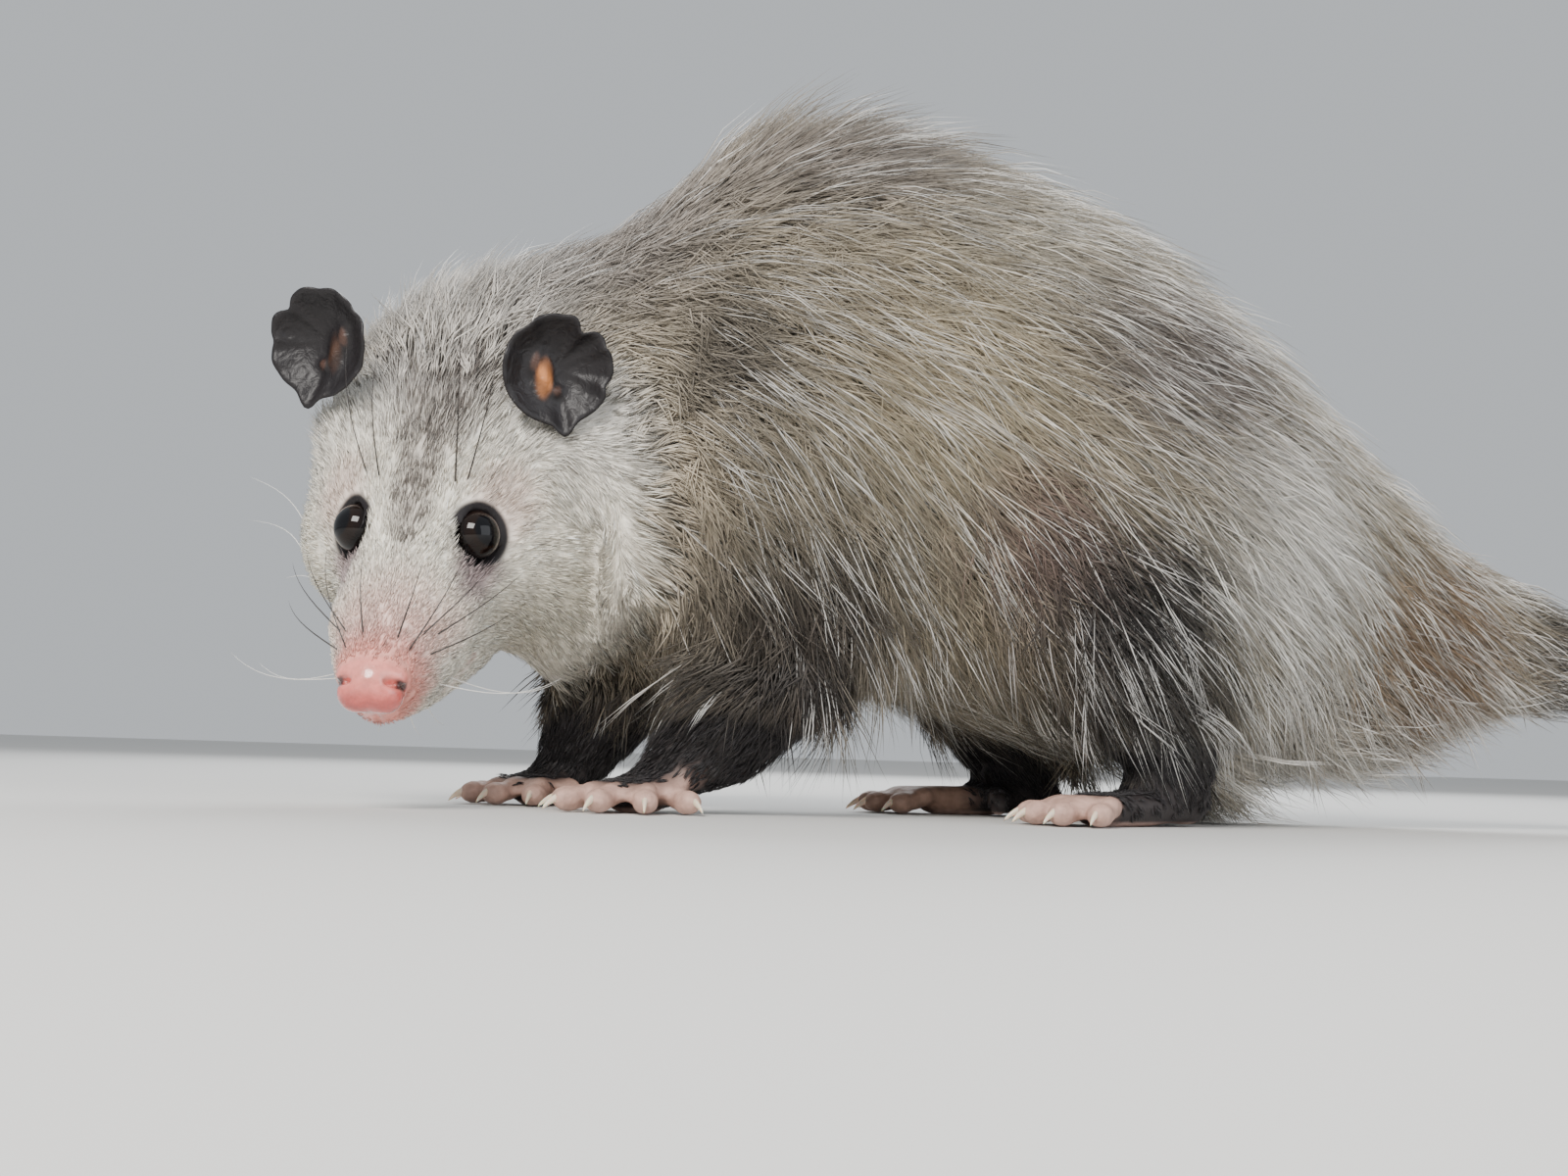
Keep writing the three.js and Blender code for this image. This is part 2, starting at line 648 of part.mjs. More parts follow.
// Head, nose, eyes and ears.
const noseCut = [fromHead([-4.5, 0, 0]), v3(fromHead([1, 0, 0])).sub(v3(fromHead([0, 0, 0]))).toArray()];
let head = headNet().intersect(headBlock(-GAP / 2));
for (const side of [1, -1]) {
  const eyeAt = fromHead([EYE_AT[0], EYE_AT[1] * side, EYE_AT[2]]);
  const eyeball = (radius) => solidOf(new THREE.SphereGeometry(radius, 10, 7).translate(...eyeAt));
  addPiece(side > 0 ? "eye_left" : "eye_right", eyeball(EYE_RADIUS), "eye");
  head = head.subtract(eyeball(EYE_RADIUS + GAP));
}
for (const [name, ear] of Object.entries(ears)) {
  addPiece(`ear_${name}`, earSolid(ear), "dark_skin");
  head = head.subtract(earSolid(ear, GAP));
}
addPiece("nose", head.intersect(beyond(...noseCut)), "bare_skin");
addPiece("head", head.intersect(behind(...noseCut)), "white_fur");

// Neck and trunk.
const body = boxNet(wholeField, [-140, -105, -8], [280, 105, 230], TRUNK_CELL);
const NECK_CUT = [[-64, 0, 110], [-0.94, 0, 0.34]];
const CHEST_CUT = [[22, 0, 100], [1, 0, 0]];
const RUMP_CUT = [[126, 0, 70], [1, 0, 0]];
const TAIL_CUT = [TAIL_ROOT, [1, 0, 0]];
let torso = body.subtract(headBlock(GAP / 2));
for (const leg of Object.values(legs)) torso = torso.subtract(legBlock(leg, GAP / 2));
for (const ear of Object.values(ears)) torso = torso.subtract(earSolid(ear, GAP));
addPiece("neck", torso.intersect(beyond(...NECK_CUT)), "white_fur");
addPiece("chest", torso.intersect(behind(...NECK_CUT)).intersect(behind(...CHEST_CUT)), "grey_fur");
addPiece("belly", torso.intersect(beyond(...CHEST_CUT)).intersect(behind(...RUMP_CUT)), "grey_fur");
addPiece("rump", torso.intersect(beyond(...RUMP_CUT)).intersect(behind(...TAIL_CUT)), "grey_fur");

// Legs, feet and claws.
const KNEE_CUT = [-0.25, 0, -1];
const FLOOR = behind([0, 0, 0], [0, 0, -1], 0);
for (const [name, leg] of Object.entries(legs)) {
  const [top, knee, ankle] = leg.joints;
  const around = (joint, reach, cell) =>
    boxNet(wholeField, joint.map((c) => c - reach), joint.map((c) => c + reach), cell)
      .intersect(legBlock(leg, -GAP / 2))
      .subtract(headBlock(GAP / 2));
  const kneeCut = [knee, KNEE_CUT];
  const ankleCut = [ankle, [0, 0, -1]];
  const shank = around(knee, SHANK_REACH, SHANK_CELL);
  const thigh = around(top, THIGH_REACH, THIGH_CELL).intersect(behind(...kneeCut));
  addPiece(`${name}_upper`, thigh, "grey_fur");
  const lower = shank.intersect(beyond(...kneeCut)).intersect(behind(...ankleCut));
  addPiece(`${name}_lower`, lower, "black_fur");
  const foot = footSolid(leg, 0).add(shank).intersect(beyond(...ankleCut)).intersect(FLOOR);
  addPiece(`${name}_foot`, foot, "bare_skin");
  leg.clawed.forEach((toe, i) => {
    const claw = loft(inFoot(leg.foot, clawRings(toe)), 4).subtract(footSolid(leg, GAP));
    addPiece(`${name}_claw_${i + 1}`, claw, "claw");
  });
}

// Tail: the furred root, then bare, scaly lengths.
const tailRoot = boxNet(wholeField, [172, -44, 4], [268, 52, 104], TAIL_ROOT_CELL);
const tailWhole = loft(tailRings, 8).add(tailRoot).intersect(FLOOR);
let rest = tailWhole.intersect(beyond(...TAIL_CUT));
[...TAIL_CUTS, null].forEach((ring, i) => {
  if (ring === null) return addPiece(`tail_${i + 1}`, rest, "bare_skin");
  const cut = [tailRings[ring].slice(0, 3), v3(tailRings[ring + 1]).sub(v3(tailRings[ring - 1])).toArray()];
  addPiece(`tail_${i + 1}`, rest.intersect(behind(...cut)), i ? "bare_skin" : "grey_fur");
  rest = rest.intersect(beyond(...cut));
});

// The origin is at the middle of the animal's box, on the floor.
const box = new THREE.Box3().setFromObject(opossum);
const middle = box.getCenter(new THREE.Vector3());
opossum.position.set(-middle.x, -middle.y, -box.min.z);

export default opossum;
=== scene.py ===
import json
import math
import bmesh
import bpy
import numpy as np
from mathutils import Matrix, Vector

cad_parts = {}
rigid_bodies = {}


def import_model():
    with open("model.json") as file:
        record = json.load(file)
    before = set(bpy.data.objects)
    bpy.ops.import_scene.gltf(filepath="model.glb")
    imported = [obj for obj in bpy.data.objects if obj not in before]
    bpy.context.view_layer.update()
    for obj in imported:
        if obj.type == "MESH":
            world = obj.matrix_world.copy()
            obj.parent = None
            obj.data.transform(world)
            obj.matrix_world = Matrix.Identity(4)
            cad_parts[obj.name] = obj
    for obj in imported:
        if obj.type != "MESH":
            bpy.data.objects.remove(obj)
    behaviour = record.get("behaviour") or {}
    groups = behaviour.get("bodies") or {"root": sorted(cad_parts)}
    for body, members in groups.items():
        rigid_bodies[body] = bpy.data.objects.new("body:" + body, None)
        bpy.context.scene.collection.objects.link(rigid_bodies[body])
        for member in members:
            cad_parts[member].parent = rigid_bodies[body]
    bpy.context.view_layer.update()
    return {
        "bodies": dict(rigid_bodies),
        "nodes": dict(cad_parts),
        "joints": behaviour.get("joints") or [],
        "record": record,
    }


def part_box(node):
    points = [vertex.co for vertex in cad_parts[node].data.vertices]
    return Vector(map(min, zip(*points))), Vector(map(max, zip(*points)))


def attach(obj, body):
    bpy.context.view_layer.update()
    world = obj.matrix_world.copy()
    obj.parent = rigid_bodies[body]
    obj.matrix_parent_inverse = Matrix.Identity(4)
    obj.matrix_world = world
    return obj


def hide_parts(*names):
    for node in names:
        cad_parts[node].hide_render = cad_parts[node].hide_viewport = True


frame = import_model()

# Places are measured in millimetres from the floor under the withers: x towards the tail, y towards the
# animal's right, z up. The row's own origin lies under the middle of the whole animal.
WITHERS = np.array([-124.98, -12.63, 0.0])


def place(x, y, z):
    return Vector((np.array([x, y, z]) + WITHERS) / 1000)


def in_mm(points):
    return points * 1000 - WITHERS


def in_scene(name, data):
    made = bpy.data.objects.new(name, data)
    bpy.context.scene.collection.objects.link(made)
    return made


# Camera: a 45 mm lens a little over half a metre off and just above the floor, turned a little to the
# right and up. It is held slightly crooked, so level lines fall to the right.
LENS = 45.0
CAMERA_AT = (-61.8, -526.4, 15.0)
CAMERA_TURN = math.radians(6.7)
CAMERA_RISE = math.radians(4.9)
CAMERA_ROLL = math.radians(1.7)
ahead = Vector((
    math.sin(CAMERA_TURN) * math.cos(CAMERA_RISE),
    math.cos(CAMERA_TURN) * math.cos(CAMERA_RISE),
    math.sin(CAMERA_RISE),
))
level = Vector((math.cos(CAMERA_TURN), -math.sin(CAMERA_TURN), 0))
upward = level.cross(ahead)
side = level * math.cos(CAMERA_ROLL) + upward * math.sin(CAMERA_ROLL)
upright = upward * math.cos(CAMERA_ROLL) - level * math.sin(CAMERA_ROLL)
camera = in_scene("camera", bpy.data.cameras.new("camera"))
camera.data.lens = LENS
camera.data.sensor_width = 36
camera.data.clip_start = 0.01
aimed = Matrix((side, upright, -ahead)).transposed().to_4x4()
camera.matrix_world = Matrix.Translation(place(*CAMERA_AT)) @ aimed
bpy.context.scene.camera = camera

# Studio: a plain pale floor without an edge in sight, a broad key light over the camera's left shoulder,
# a weaker fill, and one behind that rims the long hairs.
FLOOR_SIZE = 40.0
floor_form = bmesh.new()
bmesh.ops.create_grid(floor_form, x_segments=1, y_segments=1, size=FLOOR_SIZE / 2)
floor_mesh = bpy.data.meshes.new("floor")
floor_form.to_mesh(floor_mesh)
floor_form.free()
floor = in_scene("floor", floor_mesh)
floor_paint = bpy.data.materials.new("floor_paint")
floor_paint.use_nodes = True
floor_shader = floor_paint.node_tree.nodes["Principled BSDF"]
floor_shader.inputs["Base Color"].default_value = (0.62, 0.61, 0.59, 1)
floor_shader.inputs["Roughness"].default_value = 0.75
floor_mesh.materials.append(floor_paint)

world = bpy.data.worlds.new("studio")
world.use_nodes = True
air = world.node_tree.nodes["Background"]
air.inputs["Color"].default_value = (0.80, 0.84, 0.88, 1)
air.inputs["Strength"].default_value = 0.7
bpy.context.scene.world = world


def softbox(name, at, aim, size, watts, colour):
    lamp = bpy.data.lights.new(name, "AREA")
    lamp.size = size
    lamp.energy = watts
    lamp.color = colour
    holder = in_scene(name, lamp)
    holder.location = place(*at)
    holder.rotation_euler = (place(*aim) - place(*at)).to_track_quat("-Z", "Y").to_euler()


softbox("key", (-420, -900, 780), (20, 0, 90), 0.5, 20, (1.0, 0.97, 0.93))
softbox("fill", (700, -700, 380), (40, 0, 80), 0.9, 5, (0.93, 0.96, 1.0))
softbox("rim", (260, 850, 800), (20, 0, 120), 0.7, 13, (0.95, 0.98, 1.0))

# Head: its own frame runs x forward to the nose, y to the animal's left and z to the crown, from the tip
# of the nose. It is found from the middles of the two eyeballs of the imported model.
HEAD_TURN = math.radians(79)
HEAD_DROP = math.radians(39)
HEAD_LEAN = math.radians(-2.5)
EYE_AT = Vector((-54.6, 14.2, 10.8))
facing = Vector((-math.cos(HEAD_TURN), -math.sin(HEAD_TURN), 0))
head_turn = Matrix((facing, Vector((0, 0, 1)).cross(facing), Vector((0, 0, 1)))).transposed().to_4x4()
head_turn = head_turn @ Matrix.Rotation(HEAD_DROP, 4, "Y") @ Matrix.Rotation(HEAD_LEAN, 4, "X")
eye_middle = {name: sum(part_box(f"eye_{name}"), Vector()) / 2 for name in ("left", "right")}
between_eyes = (eye_middle["left"] + eye_middle["right"]) / 2
head_frame = Matrix.Translation(between_eyes) @ head_turn
head_frame = head_frame @ Matrix.Translation(-Vector((EYE_AT.x, 0, EYE_AT.z)) / 1000)
into_head = np.array(head_frame.inverted())


def through(points, frame):
    """Points carried from a frame's own coordinates to those that the frame stands in."""
    frame = np.array(frame)
    return points @ frame[:3, :3].T + frame[:3, 3]


def head_place(x, y, z):
    return head_frame @ (Vector((x, y, z)) / 1000)


def head_way(x, y, z):
    return head_turn.to_3x3() @ Vector((x, y, z))


def head_mm(points):
    return through(points, into_head) * 1000


def one_side(h):
    """Both halves of the head folded onto its left half."""
    return np.stack([h[:, 0], np.abs(h[:, 1]), h[:, 2]], 1)


def off_axis_line(h):
    """Distance from the head's own long axis in millimetres."""
    return np.hypot(h[:, 1], h[:, 2])


def ramp(value, low, high):
    """0 below low, 1 above high and smooth between them; low may be the greater one."""
    share = np.clip((value - low) / (high - low), 0, 1)
    return share * share * (3 - 2 * share)


def spot(points, middle, reach):
    """A soft patch: 1 at its middle, fading to 0 a little past an egg of the given reach."""
    away = np.linalg.norm((points - np.array(middle)) / np.array(reach), axis=1)
    return ramp(away, 1.15, 0.35)


def on_head(points):
    """How far a place belongs to the head: 1 from the nose to the cheeks, 0 behind the ears."""
    h = head_mm(points)
    return ramp(h[:, 0], -112, -88) * ramp(off_axis_line(h), 62, 48)


def on_nose(h, low):
    """1 on the naked end of the nose, fading to 0 at low in millimetres along the head."""
    return ramp(h[:, 0], low, -6) * ramp(off_axis_line(h), 30, 20)


# Legs: joints of each leg from where it shows below the trunk down to the ankle.
LEGS = {
    "front_left": [(4, -37, 44), (-16, -36, 25), (-34, -34, 8)],
    "front_right": [(-32, 24, 46), (-48, 18, 27), (-58, 12, 8)],
    "hind_left": [(74, -42, 50), (91, -40, 29), (100, -37, 8)],
    "hind_right": [(54, 38, 48), (67, 33, 27), (77, 27, 8)],
}


def along(points, start, end):
    """Share of the way from start to end, and the distance from that line, of each point."""
    start, end = np.array(start, float), np.array(end, float)
    way = end - start
    share = np.clip((points - start) @ way / (way @ way), 0, 1)
    return share, np.linalg.norm(points - start - share[:, None] * way, axis=1)


def on_leg(mm):
    """1 on the lower legs and feet, fading into the trunk above them."""
    found = np.zeros(len(mm))
    for top, knee, ankle in LEGS.values():
        middle = [(a + b) / 2 for a, b in zip(top, knee)]
        for (start, end), reach in (((middle, knee), 24), ((knee, ankle), 20)):
            found = np.maximum(found, ramp(along(mm, start, end)[1], reach, reach - 9))
    feet = ramp(mm[:, 2], 17, 11) * ramp(mm[:, 0], 124, 114)
    return np.maximum(found * ramp(mm[:, 2], 46, 26), feet)


def coat_depth(points):
    """Depth of the coat over the skin in millimetres, to its tips."""
    mm = in_mm(points)
    h = head_mm(points)
    face = np.interp(h[:, 0], [-112, -100, -85, -65, -40, -12, -6], [8, 5.5, 3.4, 1.6, 0.9, 0.6, 0])
    body = np.interp(mm[:, 0], [-100, -60, 0, 150, 200, 225, 243, 250], [8, 10, 12, 12, 9, 4.5, 1.2, 0])
    depth = body + (face - body) * on_head(points)
    shin = np.interp(mm[:, 2], [7, 12, 24, 40], [0, 1.0, 2.4, 5.0])
    return depth + (np.minimum(shin, depth) - depth) * on_leg(mm)


# Skin: one closed skin over head, trunk, legs, feet and tail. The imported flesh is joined, smoothed where
# its facets are broad, drawn in by the depth of the coat, and given its toes, lids, nostrils and mouth.
FLESH = ["head", "nose", "neck", "chest", "belly", "rump", "tail_1", "tail_2", "tail_3", "tail_4"]
FLESH += [f"{leg}_{length}" for leg in LEGS for length in ("upper", "lower", "foot")]
BROAD_VOXEL = 0.0026
FINE_VOXEL = 0.00085


def grown(names, grow):
    """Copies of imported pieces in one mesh, each swelled so that the thin cuts between them close."""
    whole = bmesh.new()
    for name in names:
        piece = bmesh.new()
        piece.from_mesh(frame["nodes"][name].data)
        bmesh.ops.remove_doubles(piece, verts=piece.verts, dist=1e-6)
        piece.normal_update()
        for vert in piece.verts:
            vert.co += vert.normal * grow
        part = bpy.data.meshes.new(name)
        piece.to_mesh(part)
        piece.free()
        whole.from_mesh(part)
        bpy.data.meshes.remove(part)
    return whole


def with_modifiers(mesh, *modifiers):
    """The mesh that the given modifiers make of mesh, each as its type and its settings."""
    carrier = in_scene("carrier", mesh)
    for kind, settings in modifiers:
        modifier = carrier.modifiers.new(kind, kind)
        for key, value in settings.items():
            setattr(modifier, key, value)
    seen = carrier.evaluated_get(bpy.context.evaluated_depsgraph_get())
    made = bpy.data.meshes.new_from_object(seen)
    bpy.data.objects.remove(carrier)
    return made


def voxels(form, size):
    rough = bpy.data.meshes.new("rough")
    form.to_mesh(rough)
    form.free()
    return with_modifiers(rough, ("REMESH", {"mode": "VOXEL", "voxel_size": size, "adaptivity": 0}))


def read(data, key, shape, kind=np.float32):
    values = np.empty(int(np.prod(shape)), kind)
    data.foreach_get(key, values)
    return values.reshape(shape)


def points_of(mesh):
    return read(mesh.vertices, "co", (len(mesh.vertices), 3)).astype(float)


def set_points(mesh, points):
    mesh.vertices.foreach_set("co", points.astype(np.float32).ravel())
    mesh.update()


def normals_of(mesh):
    return read(mesh.vertex_normals, "vector", (len(mesh.vertices), 3)).astype(float)


def relax(mesh, rounds, share):
    """Moves each point towards the middle of its neighbours by its share, so many times."""
    points = points_of(mesh)
    a, b = read(mesh.edges, "vertices", (len(mesh.edges), 2), np.int32).T
    count = len(points)
    near = np.bincount(a, minlength=count) + np.bincount(b, minlength=count)
    for _ in range(rounds):
        for axis in range(3):
            value = points[:, axis]
            total = np.bincount(a, value[b], count) + np.bincount(b, value[a], count)
            points[:, axis] = value + share * (total / near - value)
    set_points(mesh, points)


# The broad form, smoothed hard on the trunk and lightly on the face and limbs.
BROAD_GROW = 0.0004
LEAST_SINK = 0.2
broad = voxels(grown(FLESH, BROAD_GROW), BROAD_VOXEL)
spread = points_of(broad)
limbs = np.maximum(on_leg(in_mm(spread)), ramp(in_mm(spread)[:, 0], 175, 225))
face_share = on_head(spread)
relax(broad, 22, 0.9 * (1 - limbs) * (1 - face_share * 0.92) + 0.02)
spread = points_of(broad)
sink = np.maximum(coat_depth(spread), LEAST_SINK)
set_points(broad, spread - normals_of(broad) * sink[:, None] / 1000)
relax(broad, 4, 0.5 * (1 - limbs) * (1 - face_share))
broad = with_modifiers(broad, ("SUBSURF", {"levels": 1, "render_levels": 1}))

# The face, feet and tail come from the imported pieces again, at their full sharpness. The head's cut back
# is sunk deeper, under the broad form.
SHARP_GROW = 0.0002
SHARP_VOXEL = 0.0011
NAPE_SINK = 3.0
sharp = grown(["head", "nose", "tail_2", "tail_3", "tail_4"] + [f"{leg}_foot" for leg in LEGS], SHARP_GROW)
sharp_mesh = voxels(sharp, SHARP_VOXEL)
relax(sharp_mesh, 5, 0.5 * np.ones(len(sharp_mesh.vertices)))
spread = points_of(sharp_mesh)
sink = coat_depth(spread) + NAPE_SINK * ramp(head_mm(spread)[:, 0], -60, -95) * (in_mm(spread)[:, 0] < 60)
set_points(sharp_mesh, spread - normals_of(sharp_mesh) * sink[:, None] / 1000)
joined = bmesh.new()
joined.from_mesh(broad)
joined.from_mesh(sharp_mesh)


def ball(form, middle, radii, turn=Matrix.Identity(4), finer=3):
    """Adds an egg of the given radii in millimetres to a form."""
    scale = Matrix.Diagonal((*[r / 1000 for r in radii], 1))
    bmesh.ops.create_icosphere(form, subdivisions=finer, radius=1,
                               matrix=Matrix.Translation(middle) @ turn @ scale)


# Toes: each ends in a plump tip behind its claw, with a knuckle further back on its ridge and a narrow
# neck between them. Each is given as its place back from the tip, its rise and its radii.
TOE = [(0.0, 0.0, (4.4, 3.3, 3.1)), (0.0072, 0.0017, (3.8, 3.0, 2.9)), (0.0035, 0.0004, (4.5, 2.6, 2.6))]
TIP_BEHIND_CLAW = 0.0012
TIP_HEIGHT = 0.0031
FRONT_TOES = 5
HIND_TOES = 4
claw_lines = {}
for leg, joints in LEGS.items():
    ankle = place(*joints[2])
    for number in range(1, 1 + (FRONT_TOES if leg.startswith("front") else HIND_TOES)):
        name = f"{leg}_claw_{number}"
        spread = points_of(frame["nodes"][name].data)
        middle = spread.mean(0)
        direction = np.linalg.svd(spread - middle)[2][0]
        direction *= np.sign(direction @ (middle - np.array(ankle)))
        reach = (spread - middle) @ direction
        root = Vector(middle + direction * reach.min())
        tip = Vector(spread[reach.argmax()])
        claw_lines[name] = (root, tip)
        out = tip - root
        out.z = 0
        out.normalize()
        turn = out.to_track_quat("X", "Z").to_matrix().to_4x4()
        tip_at = root - out * TIP_BEHIND_CLAW
        tip_at.z = TIP_HEIGHT
        for back, rise, radii in TOE:
            ball(joined, tip_at - out * back + Vector((0, 0, rise)), radii, turn)

# Nose: a rounded pad in two lobes, with a wing of the nostril behind each.
for hand in (1, -1):
    ball(joined, head_place(-4.2, 3.3 * hand, -0.3), (4.8, 4.6, 5.2), head_turn)
    ball(joined, head_place(-7.5, 5.4 * hand, 1.2), (5.6, 3.4, 4.2), head_turn)

# Lids: a thick dark rim of small beads round each eyeball, drawn to a point towards the nose. A fold lies
# under it, and the muzzle is filled out below the eyes. Each eye has a frame of its own: x to its front
# corner, z the way it looks.
EYE_BALL = 6.35
LID_REACH = 5.85
LID_HEIGHT = 2.7
LID_BEADS = 40
CORNER_REACH = 1.1
CORNER_DROP = 1.6
FOLD_BEADS = 9
FOLD_REACH = LID_REACH + 2.6
FOLD_HEIGHT = LID_HEIGHT - 2.4
eye_frames = {}
for hand in (1, -1):
    middle = eye_middle["left" if hand == 1 else "right"]
    out = head_way(*Vector((0.36, 0.74 * hand, 0.57)).normalized()).normalized()
    fore = head_way(1, -0.1 * hand, -0.55)
    fore = (fore - out * fore.dot(out)).normalized()
    over = out.cross(fore)
    eye_frames[hand] = Matrix.Translation(middle) @ Matrix((fore, over, out)).transposed().to_4x4()
    for n in range(LID_BEADS):
        angle = 2 * math.pi * n / LID_BEADS
        corner = max(0.0, math.cos(angle)) ** 10
        reach = LID_REACH + CORNER_REACH * corner
        rim = Vector((reach * math.cos(angle), reach * math.sin(angle), LID_HEIGHT - CORNER_DROP * corner))
        ball(joined, eye_frames[hand] @ (rim / 1000), (0.8, 0.8, 0.8), finer=1)
    for n in range(FOLD_BEADS):
        angle = math.radians(200 + 15 * n) * hand
        fold = Vector((FOLD_REACH * math.cos(angle), FOLD_REACH * math.sin(angle), FOLD_HEIGHT))
        ball(joined, eye_frames[hand] @ (fold / 1000), (1.2, 1.2, 1.0), finer=1)
    ball(joined, head_place(-40, 10.5 * hand, -3), (19, 7.0, 8.5), head_turn)
skin_mesh = voxels(joined, FINE_VOXEL)
spread = points_of(skin_mesh)
limbs = np.maximum(ramp(in_mm(spread)[:, 2], 14, 9), ramp(in_mm(spread)[:, 0], 225, 245))
relax(skin_mesh, 3, 0.5 * np.ones(len(spread)))
relax(skin_mesh, 9, 0.5 * (1 - limbs) * (0.25 + 0.75 * ramp(head_mm(spread)[:, 0], -8, -30)))
h, mm = head_mm(spread), in_mm(spread)
nape = ramp(h[:, 0], -68, -80) * ramp(mm[:, 0], -10, -40) * ramp(mm[:, 2], 40, 60)
relax(skin_mesh, 70, 0.6 * nape)

# Nostrils, the groove between them and the line of the mouth, pressed into a finer net there.
NOSTRIL = [(-2.6, 5.0, 4.6), (-3.6, 6.7, 3.0), (-5.4, 7.6, 0.6)]
PHILTRUM = [(-1.4, 0, -2.5), (-3.2, 0, -7), (-7.5, 0, -10.6)]
MOUTH = [(-8.5, 3.2, -12.4), (-15, 6.9, -14.6), (-24, 9.2, -16.9), (-34, 11.6, -18.9), (-45, 14.2, -18.4)]


def off_line(points, line):
    """Distance of each point from a bent line, all in millimetres."""
    return np.min([along(points, start, end)[1] for start, end in zip(line, line[1:])], axis=0)


def off_mouth(h):
    return off_line(one_side(h), MOUTH)


def off_eye(h):
    """Distance from the middle of the nearer eye in millimetres."""
    return np.linalg.norm(one_side(h) - np.array(EYE_AT), axis=1)


def groove(gap, depth, width):
    return depth * np.exp(-(gap / width) ** 2)


form = bmesh.new()
form.from_mesh(skin_mesh)
h = head_mm(points_of(skin_mesh))
fine = (h[:, 0] > -11) & (off_axis_line(h) < 30) | (off_mouth(h) < 2.2) | (off_eye(h) < 10.5)
split = [edge for edge in form.edges if fine[edge.verts[0].index] and fine[edge.verts[1].index]]
bmesh.ops.subdivide_edges(form, edges=split, cuts=1, use_grid_fill=True)
form.to_mesh(skin_mesh)
form.free()
spread = points_of(skin_mesh)
h = head_mm(spread)
close = (h[:, 0] > -60) & (off_axis_line(h) < 45)
off_nostril = off_line(one_side(h), NOSTRIL)
press = groove(off_nostril, 2.2, 0.9) + groove(off_nostril, 0.35, 2.4)
press += groove(off_line(h, PHILTRUM), 0.75, 0.7)
press += ramp(h[:, 0], -9, -14) * (groove(off_mouth(h), 1.1, 0.75) - groove(off_mouth(h) - 1.9, 0.35, 0.8))
spread -= normals_of(skin_mesh) * (press * close)[:, None] / 1000
SOCKET = EYE_BALL - 0.8
for eye_frame in eye_frames.values():
    local = through(spread, eye_frame.inverted()) * 1000
    away = np.linalg.norm(local, axis=1)
    open_lid = (np.hypot(local[:, 0], local[:, 1]) < LID_REACH - 0.7) & (local[:, 2] > 0) & (away < 14)
    sunk = open_lid & (away > SOCKET)
    local[sunk] *= (SOCKET / away[sunk])[:, None]
    spread[sunk] = through(local[sunk] / 1000, eye_frame)
spread[:, 2] = np.maximum(spread[:, 2], 0)
set_points(skin_mesh, spread)

# Where fur hides the skin it needs few faces.
FACES_KEPT = 0.3
skin = in_scene("skin", skin_mesh)
spread = points_of(skin_mesh)
h, mm = head_mm(spread), in_mm(spread)
face_zone = ramp(h[:, 0], -88, -74) * ramp(off_axis_line(h), 58, 48)
feet_zone = ramp(mm[:, 2], 16, 12) * (mm[:, 0] < 150)
keep = np.round(np.maximum(np.maximum(face_zone, feet_zone), ramp(mm[:, 0], 235, 245)), 1)
group = skin.vertex_groups.new(name="hidden")
for step in np.unique(keep):
    group.add([int(i) for i in np.flatnonzero(keep == step)], 1 - float(step), "REPLACE")
fewer = skin.modifiers.new("fewer", "DECIMATE")
fewer.ratio = FACES_KEPT
fewer.vertex_group = "hidden"
fewer.vertex_group_factor = 1.0
skin.data = bpy.data.meshes.new_from_object(skin.evaluated_get(bpy.context.evaluated_depsgraph_get()))
skin.modifiers.clear()
skin.data.name = "skin"
skin.data.materials.clear()
skin.data.polygons.foreach_set("use_smooth", np.ones(len(skin.data.polygons), bool))


# Markings, shared by the skin and the coat: each is a colour laid on in a soft patch. Both flanks match
# across the midline, whose y is given.
MIDLINE = 2.0


def laid(paint, colour, share):
    return paint + (np.array(colour) - paint) * share[:, None]


def patched(paint, points, patches):
    """Soft patches laid on in turn, each with its colour, strength, middle and reach."""
    for colour, strength, middle, reach in patches:
        paint = laid(paint, colour, strength * spot(points, middle, reach))
    return paint


def on_smudge(points):
    """The grey stripe up the middle of the forehead, widening to the crown."""
    h = head_mm(points)
    wide = np.interp(h[:, 0], [-100, -84, -66, -48, -38], [17, 11, 6.5, 4.2, 2.2])
    return ramp(np.abs(h[:, 1]) / wide, 1.5, 0.3) * ramp(h[:, 2], 4, 10) * ramp(h[:, 0], -32, -52)


def face_paint(points):
    """Colour of the short fur of the head, from its cream cheeks to the smudge on the crown."""
    h = head_mm(points)
    h[:, 1] = np.abs(h[:, 1])
    paint = np.tile([0.88, 0.83, 0.725], (len(h), 1))
    paint = laid(paint, (0.72, 0.70, 0.67), 0.7 * ramp(h[:, 0], -62, -95) * ramp(h[:, 2], -5, 12))
    paint = laid(paint, (0.80, 0.74, 0.58), 0.5 * spot(h, (-72, 24, -14), (26, 22, 22)))
    paint = laid(paint, (0.33, 0.28, 0.245), 0.62 * on_smudge(points))
    paint = patched(paint, h, (
        ((0.72, 0.54, 0.47), 0.60, (-62, 19, 15), (15, 11, 11)),
        ((0.36, 0.26, 0.27), 0.85, (-47, 14.5, 5), (13, 8, 9)),
        ((0.12, 0.085, 0.09), 0.95, (-53.6, 15.6, 10.2), (10.5, 8.5, 9.5)),
        ((0.38, 0.33, 0.31), 0.55, (-29, 10, -12), (13, 7, 4)),
    ))
    paint = laid(paint, (0.78, 0.50, 0.44), 0.85 * ramp(h[:, 0], -42, -16) * ramp(h[:, 2], -6, 4))
    return laid(paint, (0.78, 0.36, 0.30), ramp(h[:, 0], -19, -9))


